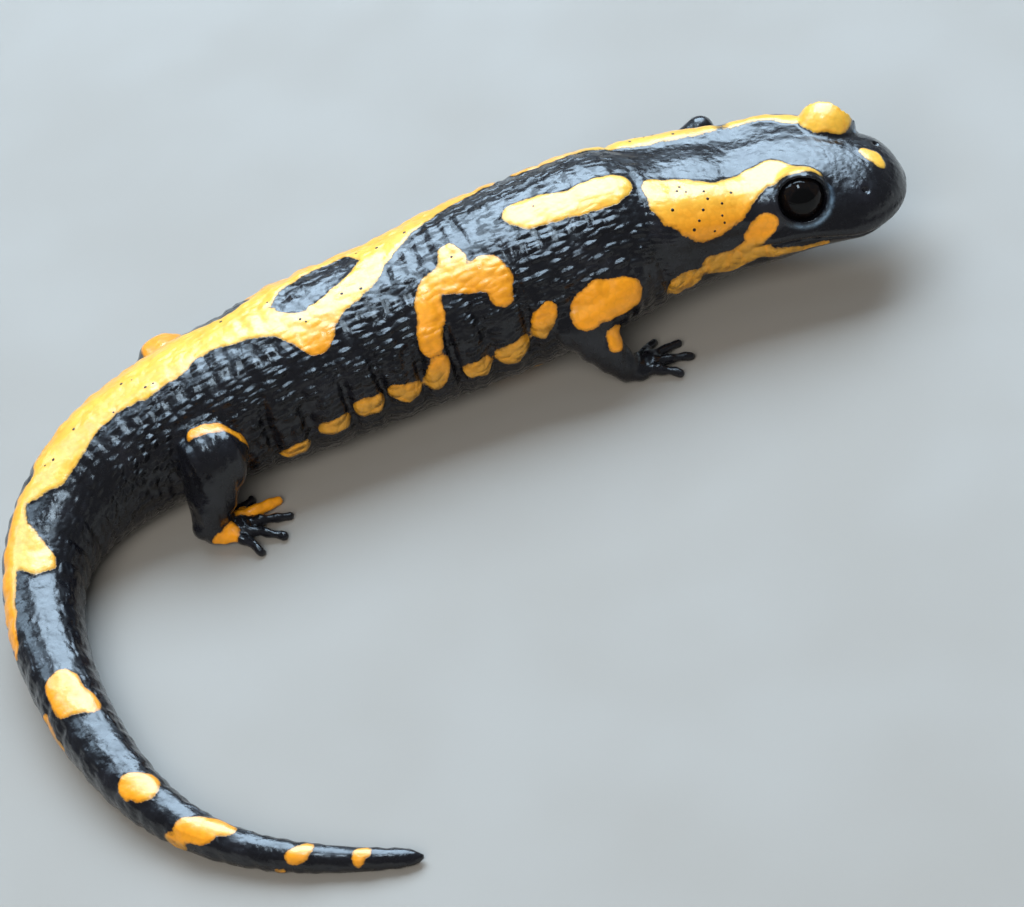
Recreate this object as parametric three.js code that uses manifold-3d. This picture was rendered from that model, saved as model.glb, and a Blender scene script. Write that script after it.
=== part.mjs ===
// A life-size fire salamander, walking, its head turned to its right and its tail curled round on
// the ground beside it. Millimetres, +Z up. The animal looks towards +X and its right side is
// towards -Y. The floor is z = 0, and the origin lies on it under the middle of the model.
import * as THREE from "three";
import { ParametricGeometry } from "three/addons/geometries/ParametricGeometry.js";
import { mergeVertices } from "three/addons/utils/BufferGeometryUtils.js";
import Module from "manifold-3d";

const wasm = await Module();
wasm.setup();

// ---- driving dimensions -------------------------------------------------------------------------
const SNOUT_TO_VENT = 95;
const TAIL_LENGTH = 79;
const BODY_LENGTH = SNOUT_TO_VENT + TAIL_LENGTH;
const NODE_GAP = 0.3; // what two nodes that meet keep between them
const SNOUT_TIP = { x: 49.3, y: 19.9 };
const SNOUT_ROUND = { plan: 5.0, profile: 3.6 }; // lengths over which the snout rounds off
const TAIL_ROUND = 3.0; // the same at the tip of the tail
const CUT = { neck: 29.8, chest: 35.5, tailBase: 92, tailMiddle: 117, tailTip: 145 };

// The body by its landmarks, from the snout backwards. at: distance along the back. wide: half
// width. up and down: height above and below the middle line. z: that line's height over the
// floor. turn: the compass direction, in degrees, in which the body runs on towards the tail.
const BODY = [
  { at: 0, wide: 6.1, up: 2.7, down: 2.5, z: 8.5, turn: 155 }, // snout
  { at: 5, wide: 7.4, up: 3.9, down: 3.95, z: 9.15, turn: 157 },
  { at: 9.5, wide: 8.3, up: 4.7, down: 5.35, z: 9.75, turn: 159.5 }, // eyes
  { at: 14, wide: 8.8, up: 5.3, down: 6.4, z: 9.8, turn: 167 },
  { at: 18, wide: 8.5, up: 5.6, down: 6.8, z: 9.4, turn: 175 }, // corner of the mouth
  { at: 22, wide: 8.5, up: 6.6, down: 7.2, z: 9.4, turn: 182 }, // parotoid glands
  { at: 27, wide: 8.9, up: 7.5, down: 7.7, z: 9.6, turn: 186 }, // neck
  { at: 33, wide: 10.1, up: 9.1, down: 8.5, z: 10.0, turn: 187 },
  { at: 39, wide: 10.7, up: 9.1, down: 8.9, z: 9.8, turn: 187 }, // shoulders
  { at: 49, wide: 10.9, up: 9.3, down: 8.9, z: 9.1, turn: 186 },
  { at: 60, wide: 10.3, up: 8.8, down: 8.5, z: 8.35, turn: 189.5 }, // belly
  { at: 70, wide: 9.9, up: 8.7, down: 8.5, z: 8.35, turn: 191.5 },
  { at: 79, wide: 8.8, up: 8.1, down: 7.9, z: 8.0, turn: 190 }, // hips
  { at: 87, wide: 7.8, up: 7.4, down: 7.3, z: 7.5, turn: 195 },
  { at: 95, wide: 6.7, up: 6.6, down: 6.6, z: 6.6, turn: 211 }, // vent
  { at: 103, wide: 5.3, up: 5.4, down: 5.3, z: 5.2, turn: 238 },
  { at: 111, wide: 4.3, up: 4.3, down: 4.2, z: 4.08, turn: 264 },
  { at: 121, wide: 3.75, up: 3.8, down: 3.75, z: 3.6, turn: 279 },
  { at: 131, wide: 3.25, up: 3.3, down: 3.25, z: 3.1, turn: 288 },
  { at: 141, wide: 2.7, up: 2.7, down: 2.65, z: 2.5, turn: 298 },
  { at: 151, wide: 2.0, up: 2.0, down: 1.95, z: 1.83, turn: 316 },
  { at: 161, wide: 1.5, up: 1.5, down: 1.45, z: 1.33, turn: 335 },
  { at: 174, wide: 0.85, up: 0.85, down: 0.8, z: 0.68, turn: 348.5 }, // tip of the tail
];
const SECTION_SQUARENESS = 2.25; // 2 would be an ellipse

// Swellings of the skin on both sides: where they lie along and round the body, and their size.
// round is in degrees from the middle of the back, and a higher edge gives a clearer border.
const SWELLINGS = [
  { at: 22.8, round: 50, long: 7.0, broad: 24, rise: 1.1, edge: 4 }, // parotoid gland
  { at: 13.4, round: 50, long: 4.2, broad: 20, rise: 0.95, edge: 2 }, // behind the lids
  { at: 15.5, round: 104, long: 5.0, broad: 22, rise: 0.5, edge: 2 }, // cheek
  { at: 8, round: 88, long: 9, broad: 8, rise: 0.25, edge: 2 }, // upper lip
];
const GROOVE = { first: 43, step: 3.6, count: 10, depth: 0.7, half: 0.9, round: 88, broad: 34 };

// ---- smooth curves through the landmarks --------------------------------------------------------

// The value of one column of a table at a distance along the body, on a smooth curve.
function along(table, key, at) {
  const last = table.length - 1;
  const s = THREE.MathUtils.clamp(at, table[0].at, table[last].at);
  let i = 0;
  while (i < last - 1 && s > table[i + 1].at) i += 1;
  const slope = (j) => {
    const a = table[Math.max(j - 1, 0)];
    const b = table[Math.min(j + 1, last)];
    return (b[key] - a[key]) / (b.at - a.at);
  };
  const span = table[i + 1].at - table[i].at;
  const t = (s - table[i].at) / span;
  const [t2, t3] = [t * t, t * t * t];
  return (
    (2 * t3 - 3 * t2 + 1) * table[i][key] +
    (t3 - 2 * t2 + t) * span * slope(i) +
    (3 * t2 - 2 * t3) * table[i + 1][key] +
    (t3 - t2) * span * slope(i + 1)
  );
}

// The middle line on the floor plan, stepped from the snout backwards.
const LINE_STEP = 0.25;
const midline = [{ ...SNOUT_TIP }];
for (let s = 0; s < BODY_LENGTH; s += LINE_STEP) {
  const turn = THREE.MathUtils.degToRad(along(BODY, "turn", s + LINE_STEP / 2));
  const { x, y } = midline[midline.length - 1];
  midline.push({ x: x + LINE_STEP * Math.cos(turn), y: y + LINE_STEP * Math.sin(turn) });
}

// A point given from the body: at a distance along it, so far forward, to the right and up to z.
function fromBody(at, forward, right, z) {
  const i = Math.min(Math.floor(at / LINE_STEP), midline.length - 2);
  const f = at / LINE_STEP - i;
  const turn = THREE.MathUtils.degToRad(along(BODY, "turn", at));
  const [c, s] = [Math.cos(turn), Math.sin(turn)];
  return new THREE.Vector3(
    THREE.MathUtils.lerp(midline[i].x, midline[i + 1].x, f) - forward * c - right * s,
    THREE.MathUtils.lerp(midline[i].y, midline[i + 1].y, f) - forward * s + right * c,
    z,
  );
}

const roundOff = (q) => Math.sqrt(Math.max(0, 1 - (1 - Math.min(q, 1)) ** 2));
const bell = (x, edge = 2) => Math.exp(-(Math.abs(x) ** edge));

// How far the skin stands out from the plain section, and sinks in at the grooves of the ribs.
function relief(at, round) {
  const side = Math.abs(round);
  let rise = 0;
  for (const w of SWELLINGS) {
    rise += w.rise * bell((at - w.at) / w.long, w.edge) * bell((side - w.round) / w.broad, w.edge);
  }
  const flank = bell((side - GROOVE.round) / GROOVE.broad);
  const nearest = THREE.MathUtils.clamp(Math.round((at - GROOVE.first) / GROOVE.step), 0, GROOVE.count - 1);
  const off = at - GROOVE.first - nearest * GROOVE.step;
  return rise - GROOVE.depth * flank * bell(off / GROOVE.half);
}

// A point of the skin. round runs from -180 to 180 degrees, 0 on the back, more to the right.
function onSkin(at, round, grow = 0) {
  const tail = roundOff((BODY_LENGTH - at) / TAIL_ROUND);
  const plan = roundOff(at / SNOUT_ROUND.plan) * tail;
  const profile = roundOff(at / SNOUT_ROUND.profile) * tail;
  const a = THREE.MathUtils.degToRad(round);
  const bend = (q) => Math.sign(q) * Math.abs(q) ** (2 / SECTION_SQUARENESS);
  const out = grow + relief(at, round) * plan;
  const half = along(BODY, "wide", at) * plan + out;
  const tall = along(BODY, Math.cos(a) > 0 ? "up" : "down", at) * profile + out;
  return fromBody(at, 0, half * bend(Math.sin(a)), along(BODY, "z", at) + tall * bend(Math.cos(a)));
}

// ---- solids -------------------------------------------------------------------------------------

// A closed three.js geometry as a solid, its faces turned outwards.
function solid(geometry) {
  const bare = geometry.clone();
  bare.deleteAttribute("normal");
  bare.deleteAttribute("uv");
  const merged = mergeVertices(bare, 1e-4);
  const index = merged.index.array;
  const faces = [];
  for (let i = 0; i < index.length; i += 3) {
    const [a, b, c] = [index[i], index[i + 1], index[i + 2]];
    if (a !== b && b !== c && c !== a) faces.push(a, b, c);
  }
  const made = (triVerts) =>
    new wasm.Manifold(
      new wasm.Mesh({
        numProp: 3,
        vertProperties: new Float32Array(merged.attributes.position.array),
        triVerts: new Uint32Array(triVerts),
      }),
    );
  const first = made(faces);
  if (first.volume() > 0) return first;
  for (let i = 0; i < faces.length; i += 3) [faces[i + 1], faces[i + 2]] = [faces[i + 2], faces[i + 1]];
  return made(faces);
}

// A closed tube of rings: ring(i, angle) gives a point of ring i, and hub(i) the middle of an end.
function tube(rings, sides, ring, hub) {
  const place = (u, v, target) => {
    const row = Math.round(v * (rings + 1)) - 1;
    const angle = (Math.round(u * sides) % sides) * (360 / sides);
    if (row < 0) target.copy(hub(0));
    else if (row >= rings) target.copy(hub(rings - 1));
    else target.copy(ring(row, angle > 180 ? angle - 360 : angle));
  };
  return solid(new ParametricGeometry(place, sides, rings + 1));
}

// A length of the body between two distances along it, with flat ends.
function bodyLength(from, to, rings, sides, ease = (q) => q) {
  const at = (i) => from + (to - from) * ease(i / (rings - 1));
  return tube(
    rings,
    sides,
    (i, angle) => onSkin(at(i), angle),
    (i) => fromBody(at(i), 0, 0, along(BODY, "z", at(i))),
  );
}

// A round limb along a curve between two parameters of it. radius(t) is its half thickness.
function limb(curve, from, to, rings, sides, radius) {
  const up = new THREE.Vector3(0, 0, 1);
  const at = (i) => from + ((to - from) * i) / (rings - 1);
  const ring = (i, angle) => {
    const along3 = curve.getTangentAt(at(i));
    const across = new THREE.Vector3().crossVectors(along3, up).normalize();
    const over = new THREE.Vector3().crossVectors(across, along3);
    const a = THREE.MathUtils.degToRad(angle);
    return curve
      .getPointAt(at(i))
      .addScaledVector(across, radius(at(i)) * Math.sin(a))
      .addScaledVector(over, radius(at(i)) * Math.cos(a));
  };
  return tube(rings, sides, ring, (i) => curve.getPointAt(at(i)));
}

function ball(centre, radius, width = 16, height = 12) {
  const g = new THREE.SphereGeometry(radius, width, height);
  g.translate(centre.x, centre.y, centre.z);
  return solid(g);
}

// The largest closed body of a solid.
function largest(made) {
  return made.decompose().reduce((a, b) => (b.volume() > a.volume() ? b : a));
}

// What lies under the floor, which is cut from every foot and from the underside of the tail.
const FLOOR_BLOCK = { side: 400, deep: 20 };
const floorGeometry = new THREE.BoxGeometry(FLOOR_BLOCK.side, FLOOR_BLOCK.side, FLOOR_BLOCK.deep);
floorGeometry.translate(0, 0, -FLOOR_BLOCK.deep / 2);
const underFloor = solid(floorGeometry);

// ---- group and materials ------------------------------------------------------------------------
const skinBlack = new THREE.MeshStandardMaterial({ color: 0x14161a, roughness: 0.28, metalness: 0 });
const eyeBlack = new THREE.MeshStandardMaterial({ color: 0x08080a, roughness: 0.05, metalness: 0 });
const salamander = new THREE.Group();

function addNode(name, made, material) {
  const mesh = largest(made).getMesh();
  const geometry = new THREE.BufferGeometry();
  const points = new Float32Array(mesh.numVert * 3);
  for (let i = 0; i < mesh.numVert; i += 1) {
    points.set(mesh.vertProperties.subarray(i * mesh.numProp, i * mesh.numProp + 3), i * 3);
  }
  geometry.setAttribute("position", new THREE.BufferAttribute(points, 3));
  geometry.setIndex(new THREE.BufferAttribute(mesh.triVerts, 1));
  geometry.computeVertexNormals();
  const node = new THREE.Mesh(geometry, material);
  node.name = name;
  salamander.add(node);
}

// ---- head, with lids, lips and nostrils ---------------------------------------------------------
const EYE = { at: 9.6, right: 5.7, up: 3.1, radius: 2.65, skew: 0.85 };
// The lids: their thickness over the eye, and their opening with its rolled margin.
const LID = { thick: 0.65, back: 0.7, openLong: 2.5, openTall: 2.15, margin: 0.36, rim: 0.16 };
const LID_AIM = { forward: 0.25, right: 1, up: 0.42 }; // the way the eye looks out of its lids
// The slit of the mouth: its corner, and how far below the middle line it runs in front and behind.
const MOUTH = { corner: 18.4, front: 1.5, back: 0.35, groove: 0.3, steps: 30, search: 0.02 };
const LIP = { lift: 0.75, sunk: 0.48, radius: 0.62 };
const NOSTRIL = { at: 3.3, right: 4.0, up: 2.95, radius: 0.45 };
const middle = (at) => along(BODY, "z", at);

function eyeCentre(side) {
  return fromBody(EYE.at + side * EYE.skew, 0, side * EYE.right, middle(EYE.at) + EYE.up);
}

// A geometry made round the Y axis is set on an eye, with Y along the way the eye looks.
function onEye(geometry, side) {
  const fromMiddle = fromBody(EYE.at, 0, 0, 0);
  const out = fromBody(EYE.at, LID_AIM.forward, side * LID_AIM.right, 0).sub(fromMiddle);
  out.z = LID_AIM.up;
  out.normalize();
  const fore = fromBody(EYE.at, 1, 0, 0).sub(fromMiddle);
  fore.addScaledVector(out, -fore.dot(out)).normalize();
  const top = new THREE.Vector3().crossVectors(fore, out);
  geometry.applyMatrix4(new THREE.Matrix4().makeBasis(fore, out, top));
  const centre = eyeCentre(side);
  geometry.translate(centre.x, centre.y, centre.z);
  return solid(geometry);
}

// An oval bar that opens the lids, and the rolled margin round that opening.
function lidOpening(side) {
  const long = 8;
  const bar = new THREE.CylinderGeometry(LID.openTall, LID.openTall, long, 20);
  bar.scale(LID.openLong / LID.openTall, 1, 1);
  bar.translate(0, long / 2 + LID.back, 0);
  return onEye(bar, side);
}

function lidMargin(side) {
  const radius = LID.openTall + LID.rim;
  const ring = new THREE.TorusGeometry(radius, LID.margin, 6, 20);
  ring.rotateX(Math.PI / 2);
  ring.scale((LID.openLong + LID.rim) / radius, 1, 1);
  ring.translate(0, Math.sqrt((EYE.radius + LID.thick) ** 2 - (LID.openLong + LID.rim) ** 2), 0);
  return onEye(ring, side);
}

// A line along the mouth, from its right corner round the snout to its left one: lift is how far
// it runs above the slit, and grow how far it stands out from the skin.
function mouthPath(lift = 0, grow = 0) {
  const depth = (at) => along(BODY, "down", at) * roundOff(at / SNOUT_ROUND.profile);
  const drop = (at) => THREE.MathUtils.lerp(MOUTH.front, MOUTH.back, at / MOUTH.corner) - lift;
  let front = 0;
  while (depth(front) < drop(front) + MOUTH.search) front += MOUTH.search;
  const points = [];
  for (let i = 0; i <= MOUTH.steps; i += 1) {
    const q = (2 * i) / MOUTH.steps - 1;
    const at = front + (MOUTH.corner - front) * q * q;
    const level = THREE.MathUtils.clamp(drop(at) / depth(at), -1, 1);
    const cosine = -Math.sign(level) * Math.abs(level) ** (SECTION_SQUARENESS / 2);
    const round = Math.sign(q || 1) * THREE.MathUtils.radToDeg(Math.acos(cosine));
    points.push(onSkin(at, round, grow));
  }
  return new THREE.CatmullRomCurve3(points);
}

const mouthTube = (path, radius) => limb(path, 0, 1, MOUTH.steps, 5, () => radius);

function head() {
  let made = bodyLength(0.02, CUT.neck - NODE_GAP / 2, 27, 32, (q) => q ** 1.35);
  made = made.add(mouthTube(mouthPath(LIP.lift, -LIP.sunk), LIP.radius));
  made = made.add(mouthTube(mouthPath(-LIP.lift, -LIP.sunk), LIP.radius));
  for (const side of [1, -1]) {
    made = made.add(ball(eyeCentre(side), EYE.radius + LID.thick, 18, 12)).add(lidMargin(side));
  }
  for (const side of [1, -1]) {
    made = made.subtract(ball(eyeCentre(side), EYE.radius + NODE_GAP, 18, 12)).subtract(lidOpening(side));
    const nostril = fromBody(NOSTRIL.at, 0, side * NOSTRIL.right, middle(NOSTRIL.at) + NOSTRIL.up);
    made = made.subtract(ball(nostril, NOSTRIL.radius, 8, 6));
  }
  return made.subtract(mouthTube(mouthPath(), MOUTH.groove));
}

addNode("head", head(), skinBlack);
addNode("eye_right", ball(eyeCentre(1), EYE.radius, 18, 14), eyeBlack);
addNode("eye_left", ball(eyeCentre(-1), EYE.radius, 18, 14), eyeBlack);

// ---- neck, torso and tail -----------------------------------------------------------------------
const between = (from, to) => [from + NODE_GAP / 2, to - NODE_GAP / 2];
addNode("neck", bodyLength(...between(CUT.neck, CUT.chest), 8, 32), skinBlack);
const grounded = (name, made) => addNode(name, made.subtract(underFloor), skinBlack);
grounded("torso", bodyLength(...between(CUT.chest, CUT.tailBase), 43, 26));
grounded("tail_base", bodyLength(...between(CUT.tailBase, CUT.tailMiddle), 15, 24));
grounded("tail_middle", bodyLength(...between(CUT.tailMiddle, CUT.tailTip), 15, 20));
const closeAtTip = (q) => 1 - (1 - q) ** 1.4;
grounded("tail_tip", bodyLength(CUT.tailTip + NODE_GAP / 2, BODY_LENGTH - 0.02, 16, 16, closeAtTip));

// ---- legs ---------------------------------------------------------------------------------------

// Each leg by its joints, from the body's middle line at a distance along it: so far forward, so
// far out to its side, and up to a height over the floor. aim is the way the middle toe points,
// in degrees outwards from straight ahead, and droop how far the foot hangs down in front. The left
// front leg is off the ground, reaching forward for its next step.
const FRONT = { upper: [3.3, 2.8], lower: [2.5, 1.65], belly: 0.3, toes: [2.6, 4.0, 4.3, 2.8] };
const HIND = { upper: [4.0, 3.5], lower: [3.3, 1.9], belly: 0.3, toes: [2.8, 4.6, 5.0, 4.6, 3.2] };
const LEGS = [
  {
    name: "front_leg_right", kind: FRONT, at: 38.5, side: 1, aim: -6, droop: 0,
    root: [2.6, 8.6, 9.8], bend: [-2.6, 9.7, 8.2], end: [0.8, 12.1, 2.3],
  },
  {
    name: "front_leg_left", kind: FRONT, at: 36.5, side: -1, aim: 2, droop: 38,
    root: [1.5, 5, 6.4], bend: [10.6, 10.4, 5.4], end: [18.6, 12.4, 9.9],
  },
  {
    name: "hind_leg_right", kind: HIND, at: 82, side: 1, aim: 12, droop: 0,
    root: [-1.4, 3.5, 7.8], bend: [-1.3, 9.3, 9.0], end: [-4.4, 11.2, 2.3],
  },
  {
    name: "hind_leg_left", kind: HIND, at: 82, side: -1, aim: 34, droop: 0,
    root: [0, 3.5, 7.8], bend: [-1.2, 9.4, 8.0], end: [-5.6, 13.0, 2.3],
  },
];
const WRIST_HEIGHT = 2.3;
const PALM = { long: 2.5, broad: 1.9, tall: 1.2, ahead: 1.9, up: 1.0 };
const TOE = { thick: 0.68, tip: 0.46, up: 0.36, arch: 0.9, fan: 21 };

// A stretch of limb between two joints, round at both, with a slight belly between them.
function stretch(from, to, [thick, thin], belly, grow = 0, sides = 12, ends = 4, steps = 5) {
  const long = from.distanceTo(to);
  const profile = [];
  for (let i = 0; i <= ends; i += 1) {
    const a = (Math.PI / 2) * (i / ends);
    profile.push(new THREE.Vector2((thick + grow) * Math.sin(a), -(thick + grow) * Math.cos(a)));
  }
  for (let i = 1; i < steps; i += 1) {
    const t = i / steps;
    const radius = THREE.MathUtils.lerp(thick, thin, t) + belly * Math.sin(Math.PI * t);
    profile.push(new THREE.Vector2(radius + grow, long * t));
  }
  for (let i = ends; i >= 0; i -= 1) {
    const a = (Math.PI / 2) * (i / ends);
    profile.push(new THREE.Vector2((thin + grow) * Math.sin(a), long + (thin + grow) * Math.cos(a)));
  }
  profile[0].x = 0;
  profile[profile.length - 1].x = 0;
  const g = new THREE.LatheGeometry(profile, sides);
  const [up, way] = [new THREE.Vector3(0, 1, 0), to.clone().sub(from).normalize()];
  g.applyQuaternion(new THREE.Quaternion().setFromUnitVectors(up, way));
  g.translate(from.x, from.y, from.z);
  return solid(g);
}

// The body from the throat to the tail, larger by the gap, which is cut from the legs.
const TRUNK = { from: CUT.neck - 8, to: CUT.tailBase + 6, rings: 60, sides: 32 };
const trunkAt = (i) => TRUNK.from + ((TRUNK.to - TRUNK.from) * i) / (TRUNK.rings - 1);
const torsoGrown = tube(
  TRUNK.rings,
  TRUNK.sides,
  (i, angle) => onSkin(trunkAt(i), angle, NODE_GAP),
  (i) => fromBody(trunkAt(i), 0, 0, middle(trunkAt(i))),
);

for (const leg of LEGS) {
  const { kind } = leg;
  const place = ([forward, out, z]) => fromBody(leg.at, forward, leg.side * out, z);
  const [root, bend, end] = [leg.root, leg.bend, leg.end].map(place);
  const [ahead, droop] = [leg.aim, leg.droop].map(THREE.MathUtils.degToRad);
  // A point of the foot: so far from the wrist at an angle from the middle toe, so high over the sole.
  const ofFoot = (angle, reach, high) => {
    const [c, s] = [Math.cos(droop), Math.sin(droop)];
    const up = high - WRIST_HEIGHT;
    const level = reach * c + up * s;
    const forward = leg.end[0] + level * Math.cos(ahead + angle);
    const out = leg.end[1] + level * Math.sin(ahead + angle);
    return place([forward, out, leg.end[2] + up * c - reach * s]);
  };
  const upper = stretch(root, bend, kind.upper, kind.belly);
  const upperGrown = stretch(root, bend, kind.upper, kind.belly, NODE_GAP);
  const lower = stretch(bend, end, kind.lower, kind.belly);
  const lowerGrown = stretch(bend, end, kind.lower, kind.belly, NODE_GAP);

  const [heel, palm, over] = [
    ofFoot(0, 0, PALM.up),
    ofFoot(0, PALM.ahead, PALM.up),
    ofFoot(0, PALM.ahead, PALM.up + 1),
  ];
  const pad = new THREE.SphereGeometry(1, 12, 8);
  const [fore, top] = [palm.clone().sub(heel).normalize(), over.sub(palm).normalize()];
  pad.scale(PALM.long, PALM.broad, PALM.tall);
  pad.applyMatrix4(new THREE.Matrix4().makeBasis(fore, new THREE.Vector3().crossVectors(top, fore), top));
  pad.translate(palm.x, palm.y, palm.z);
  let foot = solid(pad);
  const toeRadius = (t) => THREE.MathUtils.lerp(TOE.thick, TOE.tip, t) * roundOff((1.03 - t) * 7);
  kind.toes.forEach((long, i) => {
    const angle = THREE.MathUtils.degToRad(TOE.fan * (i - (kind.toes.length - 1) / 2));
    const reach = PALM.ahead + PALM.long * 0.75 + long;
    const from = ofFoot(angle * 0.45, PALM.ahead * 0.9, PALM.up);
    const to = ofFoot(angle, reach, TOE.up);
    const knuckle = ofFoot(angle * 0.85, PALM.ahead + (reach - PALM.ahead) * 0.55, TOE.up + TOE.arch);
    const toe = new THREE.QuadraticBezierCurve3(from, knuckle, to);
    foot = foot.add(limb(toe, 0, 1, 7, 6, toeRadius));
  });
  grounded(leg.name + "_upper", upper.subtract(torsoGrown));
  grounded(leg.name + "_lower", lower.subtract(upperGrown).subtract(torsoGrown));
  grounded(leg.name + "_foot", foot.subtract(lowerGrown));
}

// The origin goes under the middle of the whole.
const middleOfAll = new THREE.Box3().setFromObject(salamander).getCenter(new THREE.Vector3());
salamander.position.set(-middleOfAll.x, -middleOfAll.y, 0);

export default salamander;
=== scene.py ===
"""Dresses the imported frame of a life-size fire salamander.

One unbroken, moist skin replaces the nodes of flesh. Trunk, head, tail and legs are one smooth
distance field, which is meshed, drawn on by its markings and given its wrinkles. The eyes and the
pores of the glands are pieces of their own. The work is done in millimetres on the animal's own
plan, and what it makes is written out in metres in the frame's.
"""

import logging
import math
from dataclasses import dataclass, field
from enum import Enum

import bmesh
import bpy
import numpy as np
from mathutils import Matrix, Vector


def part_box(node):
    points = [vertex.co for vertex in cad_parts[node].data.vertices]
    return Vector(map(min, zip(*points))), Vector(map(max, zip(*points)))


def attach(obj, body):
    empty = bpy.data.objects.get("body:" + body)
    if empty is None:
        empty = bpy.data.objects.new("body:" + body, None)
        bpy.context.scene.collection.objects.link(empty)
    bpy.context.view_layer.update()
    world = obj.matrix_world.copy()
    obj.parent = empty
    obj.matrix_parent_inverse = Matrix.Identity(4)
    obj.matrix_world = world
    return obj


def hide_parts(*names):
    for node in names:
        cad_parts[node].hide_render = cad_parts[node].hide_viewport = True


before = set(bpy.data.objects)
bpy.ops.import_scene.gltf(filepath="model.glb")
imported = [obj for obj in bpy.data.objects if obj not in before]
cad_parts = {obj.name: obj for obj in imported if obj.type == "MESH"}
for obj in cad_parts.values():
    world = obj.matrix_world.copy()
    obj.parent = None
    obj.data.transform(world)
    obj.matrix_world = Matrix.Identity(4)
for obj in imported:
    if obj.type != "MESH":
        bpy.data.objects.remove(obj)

import openvdb
from mathutils import Matrix, Vector

Array = np.ndarray

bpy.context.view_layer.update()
MM = 0.001
TINY = 1e-9  # keeps a sum from dividing by nothing
LEAST_SHARE = 1e-3  # the same for shares of a size
FAR = 9.0  # farther off than any fillet reaches
LOG = logging.getLogger("salamander")


# ---- small helpers ------------------------------------------------------------------------------


def bell(x: Array, edge: float = 2.0) -> Array:
    """Returns a hump that is 1 at 0 and falls off past 1, the more sharply the higher edge is."""
    return np.exp(-(np.abs(x) ** edge))


def ease(low: float, high: float, x: Array) -> Array:
    """Returns a smooth rise of x from 0 at low to 1 at high."""
    t = np.clip((x - low) / (high - low), 0.0, 1.0)
    return t * t * (3.0 - 2.0 * t)


def length(vectors: Array) -> Array:
    """Returns the length of each row of vectors."""
    return np.sqrt((vectors * vectors).sum(axis=-1))


def unit(vector: Array) -> Array:
    """Returns a vector, or each row of several, made one long."""
    return vector / np.maximum(length(vector), TINY)[..., None]


def blend_min(a: Array, b: Array, width: float | Array) -> Array:
    """Joins two distance fields with a fillet.

    Args:
        a: the first field's values.
        b: the second field's values.
        width: how unlike they may be and still be rounded into each other, in millimetres.

    Returns:
        The smaller value of each pair, drawn in where the two are alike.
    """
    alike = np.maximum(width - np.abs(a - b), 0.0) / width
    return np.minimum(a, b) - alike * alike * width / 4.0


def blend_max(a: Array, b: Array, width: float) -> Array:
    """Returns the larger value of each pair, rounded over as blend_min rounds the smaller."""
    return -blend_min(-a, -b, width)


def rod(places: Array, start: Array, end: Array, radii: tuple[float, float], belly: float = 0.0) -> Array:
    """Measures from a round rod whose ends are balls.

    Args:
        places: the points to measure from.
        start: the middle of the first ball.
        end: the middle of the second.
        radii: the radius of each ball.
        belly: how much thicker the rod is half way between them than a straight taper.

    Returns:
        Each point's distance to the rod's surface, below zero inside it.
    """
    way = end - start
    t = np.clip((places - start) @ way / max(float(way @ way), TINY), 0.0, 1.0)
    radius = radii[0] + (radii[1] - radii[0]) * t + belly * np.sin(np.pi * t)
    return length(places - start - t[:, None] * way) - radius


def tapered_path(places: Array, path: Array, radii: Array) -> Array:
    """Returns the distance of each place to the rods that join a path's points."""
    ends = zip(path[:-1], path[1:], zip(radii[:-1], radii[1:]))
    return np.minimum.reduce([rod(places, start, end, pair) for start, end, pair in ends])


@dataclass(frozen=True)
class LatticeNoise:
    """Smooth random values in space, alike on every run."""

    seed: int
    size: int = 32

    def at(self, places: Array) -> Array:
        """Reads the noise, with one step of the lattice to a unit.

        Args:
            places: points in space.

        Returns:
            A value from about -1 to 1 for each.
        """
        table = np.random.default_rng(self.seed).uniform(-1.0, 1.0, (self.size,) * 3)
        cell = np.floor(places).astype(int)
        t = places - cell
        t = t * t * (3.0 - 2.0 * t)
        total = np.zeros(len(places))
        for corner in np.ndindex(2, 2, 2):
            i, j, k = ((cell + corner) % self.size).T
            weight = np.where(np.array(corner), t, 1.0 - t).prod(axis=1)
            total += weight * table[i, j, k]
        return total


# ---- the body's middle line ---------------------------------------------------------------------


class Measure(Enum):
    """What a landmark gives."""

    WIDE = "wide"
    UP = "up"
    DOWN = "down"
    HEIGHT = "height"
    TURN = "turn"


@dataclass(frozen=True)
class Landmark:
    """A station of the body.

    at is its distance behind the tip of the snout, wide the half width, up and down the height
    above and below the middle line, height that line's own, and turn its direction in degrees.
    """

    at: float
    wide: float
    up: float
    down: float
    height: float
    turn: float


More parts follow.
